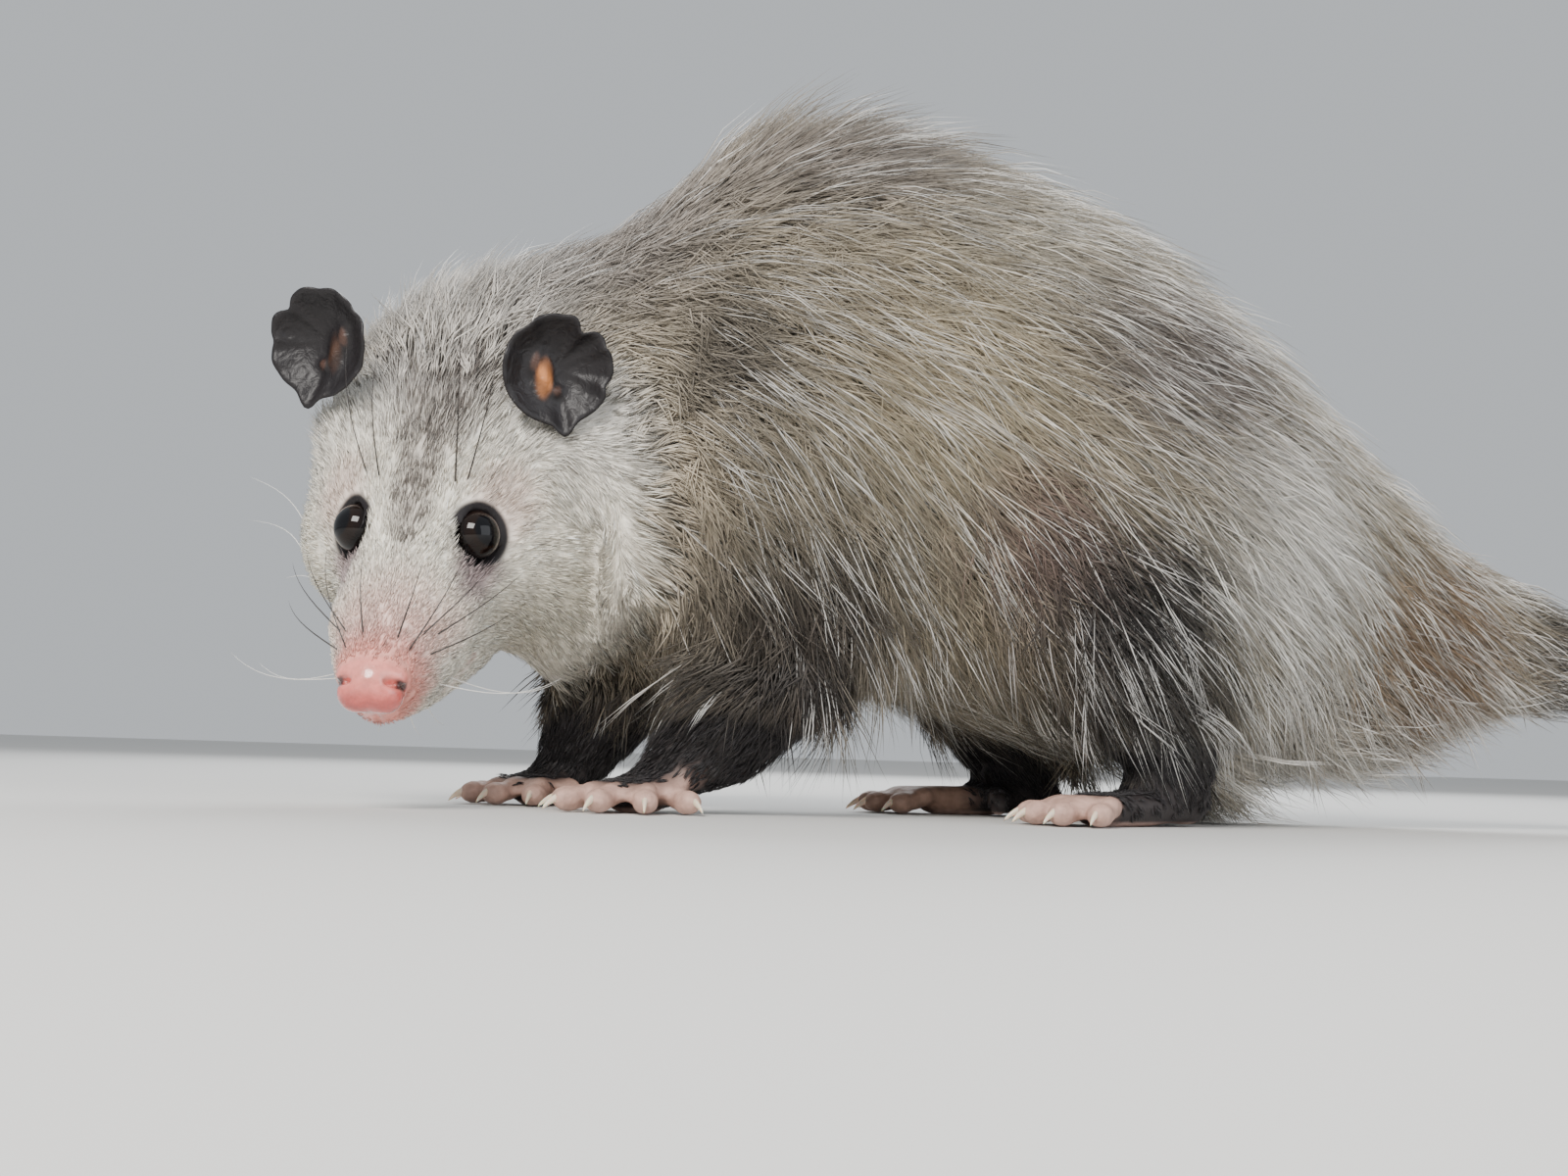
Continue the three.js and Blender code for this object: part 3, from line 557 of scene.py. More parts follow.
def body_paint(points):
    """Colour of the wool of the trunk and of the hair on the legs."""
    mm = in_mm(points)
    mm[:, 1] = -np.abs(mm[:, 1] - MIDLINE)
    paint = np.tile([0.47, 0.405, 0.305], (len(mm), 1))
    paint = patched(paint, mm, (
        ((0.27, 0.24, 0.22), 0.85, (-52, -5, 152), (54, 50, 38)),
        ((0.40, 0.33, 0.245), 0.60, (-44, -40, 78), (28, 24, 34)),
        ((0.05, 0.045, 0.045), 0.85, (-22, -48, 120), (20, 26, 30)),
        ((0.20, 0.175, 0.165), 0.70, (14, -22, 166), (44, 36, 26)),
        ((0.045, 0.034, 0.03), 0.92, (0, -50, 50), (36, 28, 27)),
        ((0.66, 0.56, 0.395), 0.90, (38, -60, 108), (40, 34, 44)),
        ((0.66, 0.60, 0.49), 0.55, (60, -44, 150), (30, 34, 26)),
        ((0.42, 0.35, 0.24), 0.60, (40, -45, 48), (24, 26, 24)),
        ((0.20, 0.17, 0.165), 0.75, (96, -48, 122), (44, 34, 32)),
        ((0.22, 0.13, 0.115), 0.85, (56, -60, 72), (24, 28, 26)),
        ((0.022, 0.02, 0.022), 0.96, (82, -62, 54), (32, 34, 30)),
        ((0.84, 0.80, 0.73), 0.90, (124, -52, 74), (30, 36, 36)),
        ((0.76, 0.70, 0.61), 0.75, (136, -20, 28), (34, 42, 26)),
        ((0.30, 0.185, 0.10), 0.90, (174, -20, 50), (34, 36, 34)),
        ((0.32, 0.245, 0.15), 0.75, (-62, -16, 42), (28, 36, 26)),
        ((0.60, 0.565, 0.52), 0.85, (-90, -12, 126), (36, 44, 32)),
        ((0.72, 0.69, 0.62), 0.85, (-56, -38, 100), (20, 22, 36)),
    ))
    paint = laid(paint, (0.03, 0.025, 0.025), 0.95 * ramp(mm[:, 0], 198, 226))
    return laid(paint, (0.02, 0.017, 0.018), on_leg(in_mm(points)))


def markings(points):
    share = on_head(points)[:, None]
    return body_paint(points) * (1 - share) + face_paint(points) * share


claw_roots = {name: in_mm(np.array(root)) for name, (root, tip) in claw_lines.items()}


def naked_reach(name):
    """How far behind its claw's root a toe is naked, in millimetres: longest on the right hind foot."""
    if name.startswith("front"):
        return 10.5
    return 12 if name.startswith("hind_left") else 24


def on_toes(mm):
    """1 on the naked toe ends."""
    found = np.zeros(len(mm))
    for name, root in claw_roots.items():
        reach = naked_reach(name)
        found = np.maximum(found, ramp(np.linalg.norm(mm - root, axis=1), reach + 3, reach - 3))
    return found


def bare(points):
    """1 on naked skin: the nose, lids, lips, toes and soles, and the tail past its furred root."""
    mm, h = in_mm(points), head_mm(points)
    nose = on_nose(h, -9)
    feet = np.maximum(ramp(mm[:, 2], 3.4, 2.2), on_toes(mm)) * ramp(mm[:, 0], 200, 190)
    lids = ramp(off_eye(h), 9.4, 8.4)
    lips = ramp(off_mouth(h), 1.5, 1.0) * (h[:, 0] > -48)
    return np.max([nose, feet, lids, lips, ramp(mm[:, 0], 248, 258)], axis=0)


def skin_paint(points):
    """Colour of the skin itself: its fur's colour but darker, and pink or black where it is bare, with
    painted shade on the toes of the far hind foot and in the nostrils.
    """
    mm, h = in_mm(points), head_mm(points)
    before_tail = mm[:, 0] < 150
    paint = markings(points) * (0.66 + 0.34 * on_head(points))[:, None]
    nose = on_nose(h, -9.5)
    raw = ramp(h[:, 0] + 0.35 * h[:, 2], -7, -2.0) * ramp(h[:, 2], 6.5, 0)
    # The nostrils are only shallow grooves: the near-black laid along them is painted shade of the openings.
    hole = ramp(off_line(one_side(h), NOSTRIL), 1.5, 0.8)
    lip = (h[:, 0] > -48) * ramp(off_mouth(h), 1.5, 0.5) * on_head(points)
    paint = laid(paint, (0.80, 0.27, 0.22), nose)
    paint = laid(paint, (0.60, 0.085, 0.075), 0.8 * nose * raw)
    paint = laid(paint, (0.035, 0.008, 0.008), 0.95 * nose * hole)
    paint = laid(paint, (0.30, 0.10, 0.09), 0.7 * lip)
    paint = laid(paint, (0.009, 0.006, 0.007), ramp(off_eye(h), 9.5, 8.0))
    paint = laid(paint, (0.030, 0.024, 0.024), on_leg(mm) * (mm[:, 2] < 46))
    for name, root in claw_roots.items():
        reach = naked_reach(name)
        # The right hind foot stands on the far side: its toes get a darker colour, which is painted shade.
        toe = (0.40, 0.25, 0.19) if name.startswith("hind_right") else (0.50, 0.315, 0.255)
        paint = laid(paint, toe, ramp(np.linalg.norm(mm - root, axis=1), reach + 3, reach - 6) * before_tail)
    paint = laid(paint, (0.50, 0.34, 0.29), ramp(mm[:, 2], 1.6, 0.6) * before_tail)
    tail = ramp(mm[:, 0], 236, 246)
    pale = ramp(mm[:, 0] + mm[:, 1] * 0.9, 300, 345)
    paint = laid(paint, (0.035, 0.03, 0.032), tail)
    return laid(paint, (0.66, 0.52, 0.46), pale * tail)


def write_colour(mesh, name, colours):
    layer = mesh.attributes.new(name, "FLOAT_COLOR", "POINT")
    filled = np.ones((len(colours), 4), np.float32)
    filled[:, :colours.shape[1]] = np.clip(colours, 0, 1)
    layer.data.foreach_set("color", filled.ravel())


def feed(tree, made, values):
    """Gives a node's sockets their values, or links them where the value is another node's output."""
    for key, value in values.items():
        if isinstance(value, bpy.types.NodeSocket):
            tree.links.new(value, made.inputs[key])
        else:
            made.inputs[key].default_value = value


def node(tree, kind, values=None, **settings):
    made = tree.nodes.new(kind)
    for key, value in settings.items():
        setattr(made, key, value)
    feed(tree, made, values or {})
    return made


def material(name):
    made = bpy.data.materials.new(name)
    made.use_nodes = True
    return made, made.node_tree, made.node_tree.nodes["Principled BSDF"]


def painted(tree, name="markings"):
    """A colour or a number written on the mesh."""
    return node(tree, "ShaderNodeAttribute", attribute_name=name).outputs


def own_places(tree):
    return node(tree, "ShaderNodeTexCoord").outputs["Object"]


# The skin's material: mottled by its markings, wet on the nose, and scaly on the tail and toes.
spread = points_of(skin.data)
h, mm = head_mm(spread), in_mm(spread)
write_colour(skin.data, "markings", skin_paint(spread))
wet = on_nose(h, -8.5)
scaly = np.maximum(ramp(mm[:, 0], 240, 252), 0.35 * on_toes(mm) * (mm[:, 0] < 150))
write_colour(skin.data, "finish", np.stack([wet, scaly], 1))
hide, tree, shader = material("hide")
finish = node(tree, "ShaderNodeSeparateColor", {"Color": painted(tree, "finish")["Color"]}).outputs
at = own_places(tree)
mottle = node(tree, "ShaderNodeTexNoise", {"Vector": at, "Scale": 420.0, "Detail": 4.0})
shade = node(tree, "ShaderNodeMapRange", {
    "Value": mottle.outputs["Fac"], "From Min": 0.3, "From Max": 0.7, "To Min": 0.78, "To Max": 1.15})
tinted = node(tree, "ShaderNodeVectorMath", {
    0: painted(tree)["Color"], "Scale": shade.outputs["Result"]}, operation="SCALE")
rough = node(tree, "ShaderNodeMapRange", {
    "Value": finish["Red"], "From Min": 0.0, "From Max": 1.0, "To Min": 0.58, "To Max": 0.24})
scales = node(tree, "ShaderNodeTexVoronoi", {"Vector": at, "Scale": 620.0})
scale_bump = node(tree, "ShaderNodeBump", {
    "Distance": 0.0005, "Strength": finish["Green"], "Height": scales.outputs["Distance"]})
pores = node(tree, "ShaderNodeTexNoise", {"Vector": at, "Scale": 1500.0, "Detail": 3.0})
pore_bump = node(tree, "ShaderNodeBump", {
    "Distance": 0.0002, "Strength": 0.6, "Height": pores.outputs["Fac"],
    "Normal": scale_bump.outputs["Normal"]})
feed(tree, shader, {
    "Base Color": tinted.outputs["Vector"], "Roughness": rough.outputs["Result"], "IOR": 1.42,
    "Subsurface Radius": (1.0, 0.35, 0.2), "Subsurface Scale": 0.002,
    "Coat Weight": finish["Red"], "Coat Roughness": 0.12, "Normal": pore_bump.outputs["Normal"]})
skin.data.materials.append(hide)
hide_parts(*FLESH)
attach(skin, "root")


def finished(name, mesh, paint, slot, *nodes):
    """Puts a made mesh into the scene as a smooth piece riding on the animal."""
    mesh.name = name
    mesh.materials.clear()
    mesh.materials.append(paint)
    mesh.polygons.foreach_set("use_smooth", np.ones(len(mesh.polygons), bool))
    piece = in_scene(name, mesh)
    if nodes:
        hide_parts(*nodes)
    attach(piece, "root")


def colour_ramp(tree, share, stops):
    """A ramp through its stops, each a place from 0 to 1 and a colour, read at share."""
    made = node(tree, "ShaderNodeValToRGB", {"Fac": share})
    elements = made.color_ramp.elements
    for element, (where, colour) in zip(elements, (stops[0], stops[-1])):
        element.position = where
        element.color = (*colour, 1)
    for where, colour in stops[1:-1]:
        elements.new(where).color = (*colour, 1)
    return made.outputs["Color"]


# Eyes: black wet balls with a slightly domed cornea, set behind the lids. The pupil is nearly as wide as
# the iris.
CORNEA_RISE = 0.03
eye_paint, tree, shader = material("eye_wet")
iris = colour_ramp(tree, painted(tree, "off_pupil")["Fac"], [
    (0.30, (0.003, 0.003, 0.004)), (0.36, (0.010, 0.005, 0.003)),
    (0.52, (0.008, 0.004, 0.003)), (0.60, (0.003, 0.002, 0.002))])
feed(tree, shader, {"Base Color": iris, "Roughness": 0.03, "IOR": 1.37})
for hand, side_name in ((1, "left"), (-1, "right")):
    form = bmesh.new()
    bmesh.ops.create_uvsphere(form, u_segments=40, v_segments=28, radius=EYE_BALL / 1000)
    mesh = bpy.data.meshes.new("eyeball")
    form.to_mesh(mesh)
    form.free()
    spread = points_of(mesh)
    off_axis = np.arccos(np.clip(spread[:, 2] / np.linalg.norm(spread, axis=1), -1, 1))
    spread *= (1 + CORNEA_RISE * ramp(off_axis, 0.95, 0.0))[:, None]
    set_points(mesh, through(spread, eye_frames[hand]))
    layer = mesh.attributes.new("off_pupil", "FLOAT", "POINT")
    layer.data.foreach_set("value", (off_axis / math.pi * 1.6).astype(np.float32))
    finished(f"eyeball_{side_name}", mesh, eye_paint, "eye", f"eye_{side_name}")

# Ears: naked black leaves, thin and wrinkled, each rim torn in its own places. A tan fold stands inside the
# hollow, and the rim is drawn out to a tag at its foot. Each ear has its hand, its lift in millimetres,
# and its notches: where in degrees round the rim, how deep and how wide.
EAR_REACH = 14.0
EAR_BASE = (-83.5, 28, 30)
EAR_UP = (-0.48, 0.2, 0.87)
EAR_FACING = (0.84, 0.3, 0.42)
EARS = {
    "left": (1, 0.0, [(20, 0.21, 9), (-50, 0.05, 9), (52, 0.05, 5), (96, 0.09, 8), (-8, 0.02, 6)]),
    "right": (-1, 4.0, [(36, 0.16, 9), (-12, 0.05, 9), (80, 0.07, 7), (-62, 0.04, 6)]),
}
hearing = Vector(EAR_FACING).normalized()
outward = Vector(EAR_UP).cross(hearing).normalized()
ear_frame = Matrix((outward, hearing.cross(outward), hearing)).transposed().to_4x4()
ear_frame = np.array(Matrix.Translation(EAR_BASE) @ ear_frame)
EAR_RINGS = 20
EAR_SPOKES = 96
TAG_AT = 160
ear_paint, tree, shader = material("ear_leather")
creases = node(tree, "ShaderNodeTexNoise", {
    "Vector": own_places(tree), "Scale": 330.0, "Detail": 5.0, "Distortion": 1.2})
crease_bump = node(tree, "ShaderNodeBump", {
    "Distance": 0.0006, "Strength": 0.7, "Height": creases.outputs["Fac"]})
feed(tree, shader, {
    "Base Color": painted(tree)["Color"], "Roughness": 0.42, "Specular IOR Level": 0.35,
    "Normal": crease_bump.outputs["Normal"]})


def rim_bump(angles, where, width):
    """1 at one place of the rim, fading round it; all in degrees."""
    return np.exp(-(((angles - where + 180) % 360 - 180) / width) ** 2)


def swell(u, v, middle, reach):
    return np.exp(-((u - middle[0]) / reach[0]) ** 2 - ((v - middle[1]) / reach[1]) ** 2)


def closed_mesh(points, faces):
    """A mesh of the given points and faces, every face turned outward."""
    mesh = bpy.data.meshes.new("closed")
    mesh.from_pydata([tuple(point) for point in points], [], faces)
    form = bmesh.new()
    form.from_mesh(mesh)
    bmesh.ops.recalc_face_normals(form, faces=form.faces)
    form.to_mesh(mesh)
    form.free()
    return mesh


for side_name, (hand, lift, notches) in EARS.items():
    angles = np.linspace(-180, 180, EAR_SPOKES, endpoint=False)
    reach = np.full(EAR_SPOKES, EAR_REACH)
    for where, depth, width in notches:
        reach *= 1 - depth * rim_bump(angles, where, width)
    reach *= 1 + 0.22 * rim_bump(angles, TAG_AT, 9)
    layers, paints = [], []
    for back in (False, True):
        for share in np.linspace(0, 1, EAR_RINGS + 1):
            around = np.radians(angles)
            u, v = reach * share * np.sin(around), reach * share * np.cos(around)
            cup = -4.6 + 6.6 * share ** 2.2 - 0.9 * max(0.0, (share - 0.9) / 0.1) ** 2
            cup = cup + 0.40 * np.sin(7 * around + 1.0) * share ** 3 + 0.22 * np.sin(15 * around) * share ** 4
            fold = swell(u + 0.15 * v, v, (-2.8, -3.0), (2.3, 5.0))
            shelf = swell(u, v, (-5.6, 0.5), (1.5, 3.2))
            knob = swell(u, v, (1.6, -5.4), (1.5, 1.6))
            if back:
                cup = cup - 1.1 * (1 - 0.62 * share ** 3)
            else:
                cup = cup + 2.6 * fold + 1.5 * shelf + 1.7 * knob
            local = through(np.stack([u, v + 0.8 * EAR_REACH, cup], 1), ear_frame)
            local = local * np.array([1, hand, 1]) + np.array([0, 0, lift])
            layers.append(local if share > 0 else local[:1])
            tone = np.tile([0.013, 0.011, 0.012], (EAR_SPOKES, 1))
            if not back:
                tan = np.array([0.50, 0.19, 0.065]) * (0.8 + 0.3 * np.sin(1.1 * v + 0.8 * u))[:, None]
                tone = laid(tone, tan, (0.95 if hand == 1 else 0.08) * ramp(fold, 0.22, 0.7))
                tone = laid(tone, (0.10, 0.05, 0.035), 0.6 * ramp(shelf + knob, 0.4, 0.8))
            paints.append(tone if share > 0 else tone[:1])
    spread = through(np.concatenate(layers) / 1000, head_frame)
    sheet = 1 + EAR_RINGS * EAR_SPOKES
    faces = []
    for first, backwards in ((0, hand == 1), (sheet, hand == -1)):
        for spoke in range(EAR_SPOKES):
            after = (spoke + 1) % EAR_SPOKES
            rows = [(first, first + 1 + spoke, first + 1 + after)]
            for ring in range(EAR_RINGS - 1):
                a, b = first + 1 + ring * EAR_SPOKES, first + 1 + (ring + 1) * EAR_SPOKES
                rows.append((a + spoke, b + spoke, b + after, a + after))
            faces += [row if backwards else row[::-1] for row in rows]
    rim = 1 + (EAR_RINGS - 1) * EAR_SPOKES
    for spoke in range(EAR_SPOKES):
        after = (spoke + 1) % EAR_SPOKES
        edge = (rim + spoke, rim + after, sheet + rim + after, sheet + rim + spoke)
        faces.append(edge[::-1] if hand == 1 else edge)
    mesh = closed_mesh(spread, faces)
    write_colour(mesh, "markings", np.concatenate(paints))
    finished(f"ear_leaf_{side_name}", mesh, ear_paint, "dark_skin", f"ear_{side_name}")

# Claws: pale, half clear horn, each curved down over its toe's end.
CLAW_RINGS = 10
CLAW_SIDES = 10
CLAW_THICK = 0.00145
claw_paint, tree, shader = material("claw_horn")
horn = colour_ramp(tree, painted(tree, "to_tip")["Fac"], [
    (0.0, (0.62, 0.40, 0.30)), (0.4, (0.74, 0.60, 0.46)), (1.0, (0.78, 0.70, 0.54))])
feed(tree, shader, {
    "Base Color": horn, "Roughness": 0.22, "IOR": 1.5, "Subsurface Weight": 0.4, "Subsurface Scale": 0.001})
for name, (root, tip) in claw_lines.items():
    flat = (tip - root).normalized()
    flat.z = 0
    flat.normalize()
    start = root - flat * 0.0022 + Vector((0, 0, 0.0012))
    bend = root.lerp(tip, 0.5) + Vector((0, 0, 0.0024))
    aside = Vector((-flat.y, flat.x, 0))
    spread, share_out = [], []
    for ring in range(CLAW_RINGS):
        share = ring / CLAW_RINGS
        middle = start * (1 - share) ** 2 + bend * 2 * share * (1 - share) + tip * share ** 2
        course = ((bend - start) * (1 - share) + (tip - bend) * share).normalized()
        rise = aside.cross(course)
        thick = CLAW_THICK * (1 - share) ** 0.75 + 0.0001
        for n in range(CLAW_SIDES):
            angle = 2 * math.pi * n / CLAW_SIDES
            spread.append(middle + (aside * 0.72 * math.cos(angle) - rise * math.sin(angle)) * thick)
            share_out.append(share)
    spread += [start, tip]
    share_out += [0, 1]
    last = CLAW_RINGS * CLAW_SIDES
    faces = []
    for n in range(CLAW_SIDES):
        m = (n + 1) % CLAW_SIDES
        faces.append((last, m, n))
        for ring in range(CLAW_RINGS - 1):
            a, b = ring * CLAW_SIDES, (ring + 1) * CLAW_SIDES
            faces.append((a + n, a + m, b + m, b + n))
        faces.append((last - CLAW_SIDES + n, last - CLAW_SIDES + m, last + 1))
    mesh = closed_mesh(spread, faces)
    layer = mesh.attributes.new("to_tip", "FLOAT", "POINT")
    layer.data.foreach_set("value", np.array(share_out, np.float32))
    finished(f"{name}_horn", mesh, claw_paint, "claw", name)

# Coat: thin closed spindles of hair in tufts over the whole skin, a soft wool with a slight bow under
# longer guard hairs. All of them follow the lie of the coat, which runs from the nose back and down.
# It is given at places on the animal and on its head, each with the way its hair lies there.


def both_sides(rows):
    """Rows of places and ways given for the left of the head or the right of the body, and their mirrors."""
    return [((x, y * hand, z), (dx, dy * hand, dz)) for hand in (-1, 1) for (x, y, z), (dx, dy, dz) in rows]


COMBED = [
    ((-56, -30, 150), (0.85, -0.1, -0.1)), ((-60, 6, 156), (0.9, 0, 0.25)),
    ((-60, 40, 130), (0.8, 0.2, -0.3)), ((-10, 0, 188), (1, 0, 0.25)), ((40, 0, 186), (1, 0, -0.15)),
    ((90, 0, 168), (0.85, 0, -0.45)), ((150, 3, 122), (0.85, 0, -0.55)), ((190, 4, 80), (0.85, 0, -0.45)),
    ((215, 5, 55), (0.95, 0.03, -0.3)), ((205, 5, 32), (0.95, 0.03, -0.1)),
    ((240, 7, 42), (0.9, 0.05, -0.35)), ((150, 0, 12), (0.9, 0, -0.4)), ((40, 0, 25), (0.85, 0, -0.3)),
    ((-10, 0, 32), (0.8, 0, -0.5)), ((-62, 0, 45), (0.5, 0, -0.85)), ((-80, 30, 90), (0.7, 0.3, -0.6)),
] + both_sides([
    ((-40, 42, 120), (0.75, 0.05, -0.6)), ((-60, 32, 80), (0.55, 0, -0.8)),
    ((-15, 50, 90), (0.55, 0, -0.85)), ((-10, 48, 140), (0.8, 0.05, -0.5)),
    ((40, 55, 140), (0.85, 0.05, -0.45)), ((40, 60, 100), (0.75, 0, -0.65)),
    ((35, 52, 55), (0.55, 0, -0.8)), ((90, 55, 125), (0.85, 0, -0.55)),
    ((90, 64, 75), (0.65, 0.05, -0.75)), ((80, 58, 45), (0.35, 0, -0.95)),
    ((130, 45, 80), (0.8, 0, -0.6)), ((125, 50, 40), (0.6, 0, -0.8)), ((165, 25, 55), (0.85, 0, -0.5)),
    ((0, 45, 45), (0.1, 0, -1)),
])
for joints in LEGS.values():
    for start, end in zip(joints, joints[1:]):
        middle = tuple((a + b) / 2 for a, b in zip(start, end))
        COMBED.append((middle, tuple(b - a for a, b in zip(start, end))))
HEAD_COMBED = [
    ((-4, 0, 6), (-1, 0, 0.15)), ((-28, 0, 12), (-1, 0, 0.2)), ((-58, 0, 24), (-1, 0, 0.35)),
    ((-85, 0, 30), (-1, 0, 0)), ((-30, 0, -22), (-1, 0, -0.2)), ((-60, 0, -32), (-1, 0, 0.1)),
] + both_sides([
    ((-22, 10, 0), (-1, 0.25, -0.15)), ((-42, 16, 12), (-0.9, 0.35, 0.2)),
    ((-45, 18, -8), (-0.9, 0.3, -0.35)), ((-68, 20, 22), (-0.9, 0.35, 0.35)),
    ((-70, 30, 0), (-0.8, 0.35, -0.35)), ((-72, 28, -16), (-0.75, 0.25, -0.6)),
    ((-90, 34, 10), (-0.8, 0.5, -0.3)), ((-86, 20, 30), (-0.7, 0.5, 0.5)),
])
comb_places = np.array([in_mm(np.array(place(*at))) for at, _ in COMBED]
                       + [in_mm(np.array(head_place(*at))) for at, _ in HEAD_COMBED])
comb_ways = np.array([Vector(way).normalized() for _, way in COMBED]
                     + [head_way(*way).normalized() for _, way in HEAD_COMBED])


def lie(points, normals):
    """The way the coat lies at each place, along the skin."""
    mm = in_mm(points)
    total = np.zeros_like(mm)
    for at, way in zip(comb_places, comb_ways):
        gap = np.sum((mm - at) ** 2, axis=1) + 9
        total += way / gap[:, None] ** 1.7
    total -= normals * np.sum(total * normals, axis=1)[:, None]
    return total / np.maximum(np.linalg.norm(total, axis=1), 1e-12)[:, None]


def triangles_of(mesh):
    mesh.calc_loop_triangles()
    return read(mesh.loop_triangles, "vertices", (len(mesh.loop_triangles), 3), np.int32)


skin_points, skin_normals, skin_faces = points_of(skin.data), normals_of(skin.data), triangles_of(skin.data)
corners = skin_points[skin_faces]
face_middles = corners.mean(1)
edges = corners[:, 1:] - corners[:, :1]
face_areas = np.linalg.norm(np.cross(edges[:, 0], edges[:, 1]), axis=1) / 2
chance = np.random.default_rng(7)


def rooted(weight, count):
    """Roots spread over the skin with a weight for each face: their places and the normals there."""
    odds = face_areas * weight
    which = chance.choice(len(odds), count, p=odds / odds.sum())
    mix = chance.dirichlet((1, 1, 1), count)
    roots = np.einsum("ij,ijk->ik", mix, corners[which])
    normals = np.einsum("ij,ijk->ik", mix, skin_normals[skin_faces[which]])
    return roots, normals / np.linalg.norm(normals, axis=1)[:, None]


def clear_of_ears(points):
    """0 where hair would grow through an ear, 1 from 9 mm away."""
    h = head_mm(points)
    room = np.ones(len(h))
    for hand, lift, _ in EARS.values():
        local = (h - np.array([0, 0, lift])) * np.array([1, hand, 1])
        u, v, w = ((local - ear_frame[:3, 3]) @ ear_frame[:3, :3]).T
        gap = np.maximum(np.hypot(u, v - 0.8 * EAR_REACH) - EAR_REACH, np.abs(w - 2) - 5)
        room = np.minimum(room, ramp(gap, 0, 9))
    return room


def unwrap(points, region):
    """Where a root lies on the unrolled skin of its region: along it, and round it."""
    if region == "head":
        h = head_mm(points)
        length, a, b = (h[:, 0] + 115) / 120, h[:, 1], h[:, 2]
    elif region == "legs":
        mm = in_mm(points)
        length = mm[:, 2] / 60
        spokes = [np.linalg.norm(mm[:, :2] - np.array(joints[1][:2]), axis=1) for joints in LEGS.values()]
        nearest = np.argmin(spokes, axis=0)
        knees = np.array([joints[1] for joints in LEGS.values()])[nearest]
        turn = np.arctan2(mm[:, 1] - knees[:, 1], mm[:, 0] - knees[:, 0]) / (2 * math.pi) + 0.5
        return np.clip(np.stack([length, (nearest + turn) / 4], 1), 0.004, 0.992)
    else:
        mm = in_mm(points)
        low, high = REGIONS[region][:2]
        length = (mm[:, 0] - max(low, -115)) / (min(high, 250) - max(low, -115))
        spine = np.interp(mm[:, 0], [-80, 0, 60, 150, 200], [100, 105, 98, 62, 52])
        a, b = mm[:, 1] - 4, mm[:, 2] - spine
    return np.clip(np.stack([length, np.arctan2(a, b) / (2 * math.pi) + 0.5], 1), 0.004, 0.992)


# Kinds of hair, each with its stations as shares of its length and of its full width, the hairs in a
# tuft, the full width in millimetres, the angles to the skin in degrees at the root and the tip, how far
# it bends after the body's curve, how closely a tuft clumps, how far it strays from the lie of the coat,
# and how much each hair bows.
LONG_HAIR = ((0.0, 0.0), (0.3, 1.0), (0.66, 0.75), (1.0, 0.0))
SHORT_HAIR = ((0.0, 0.0), (0.42, 1.0), (1.0, 0.0))
WOOL = dict(stations=SHORT_HAIR, hairs=8, width=0.58, rise=36, settle=12,
            hug=0.07, clump=0.55, stray=0.3, curl=0.12)
GUARD = dict(stations=LONG_HAIR, hairs=5, width=0.32, rise=28, settle=10,
             hug=0.14, clump=0.4, stray=0.2, curl=0.05)
FACE_HAIR = dict(stations=SHORT_HAIR, hairs=3, width=0.26, rise=18, settle=6,
                 hug=0.05, clump=0.3, stray=0.12, curl=0.05)
LEG_HAIR = dict(stations=SHORT_HAIR, hairs=4, width=0.40, rise=20, settle=6,
                hug=0.05, clump=0.5, stray=0.16, curl=0.06)
PATCH = 0.003
SCATTER = 0.28
UNEVEN = 0.10


def tufts(roots, normals, region, length, colours, stations, hairs, width, rise, settle, hug, clump,
          stray, curl, lifted=0):
    """Hairs in tufts, of one kind. Each hair starts near its tuft's root and leans to its tuft's line.
    length is in millimetres for each tuft, colours are those at the root and the tip, and lifted adds to
    the rise. Returns the stations, and the points, colours and places on the map."""
    count = len(roots)
    flow = lie(roots, normals)
    across = np.cross(normals, flow)
    swing = chance.normal(0, stray, count)[:, None]
    flow = flow * np.cos(swing) + across * np.sin(swing)

    def many(values):
        return np.repeat(values, hairs, axis=0)

    flow, up, start = many(flow), many(normals), many(roots)
    across = np.cross(up, flow)
    total = count * hairs
    length = many(length) * chance.uniform(0.75, 1.12, total)
    rise = np.radians(many(rise + lifted + np.zeros(count)) + chance.normal(0, 5, total))
    settle = np.radians(settle + chance.normal(0, 4, total))
    apart = many(np.sqrt(length.reshape(count, hairs).mean(1)))[:, None]
    scatter = chance.normal(0, 1, (total, 2)) * apart * SCATTER
    bow = chance.normal(0, curl, total) * length
    root_colour, tip_colour = (many(colour) for colour in colours)
    shade = chance.normal(1, UNEVEN, total)[:, None] * many(chance.normal(1, UNEVEN, count))[:, None]
    wide = width * chance.uniform(0.7, 1.25, total)
    on_map = many(unwrap(roots, region))
    rings, paints, maps = [], [], []
    for n, (share, fat) in enumerate(stations):
        bend = rise + (settle - rise) * share / 2
        forward = length * share * np.cos(bend)
        height = length * share * np.sin(bend) - hug * length * share ** 2
        aside = scatter[:, 0] * (1 - clump * share) + bow * share * (share - 0.35 * (n % 2))
        middle = flow * (forward + scatter[:, 1] * (1 - clump * share))[:, None] + up * height[:, None]
        middle = start + (middle + across * aside[:, None]) / 1000
        corners_here = [(0, 0)] if fat == 0 else [(-0.5, 0), (0.5, 0), (0, 0.55)]
        for out, rising in corners_here:
            reach = wide * fat
            corner = across * (out * reach)[:, None] + up * (rising * reach)[:, None]
            rings.append(middle + corner / 1000)
            paints.append((root_colour + (tip_colour - root_colour) * share) * shade)
            maps.append(on_map + np.array([out, share]) * PATCH)
    return stations, np.stack(rings, 1), np.stack(paints, 1), np.stack(maps, 1)


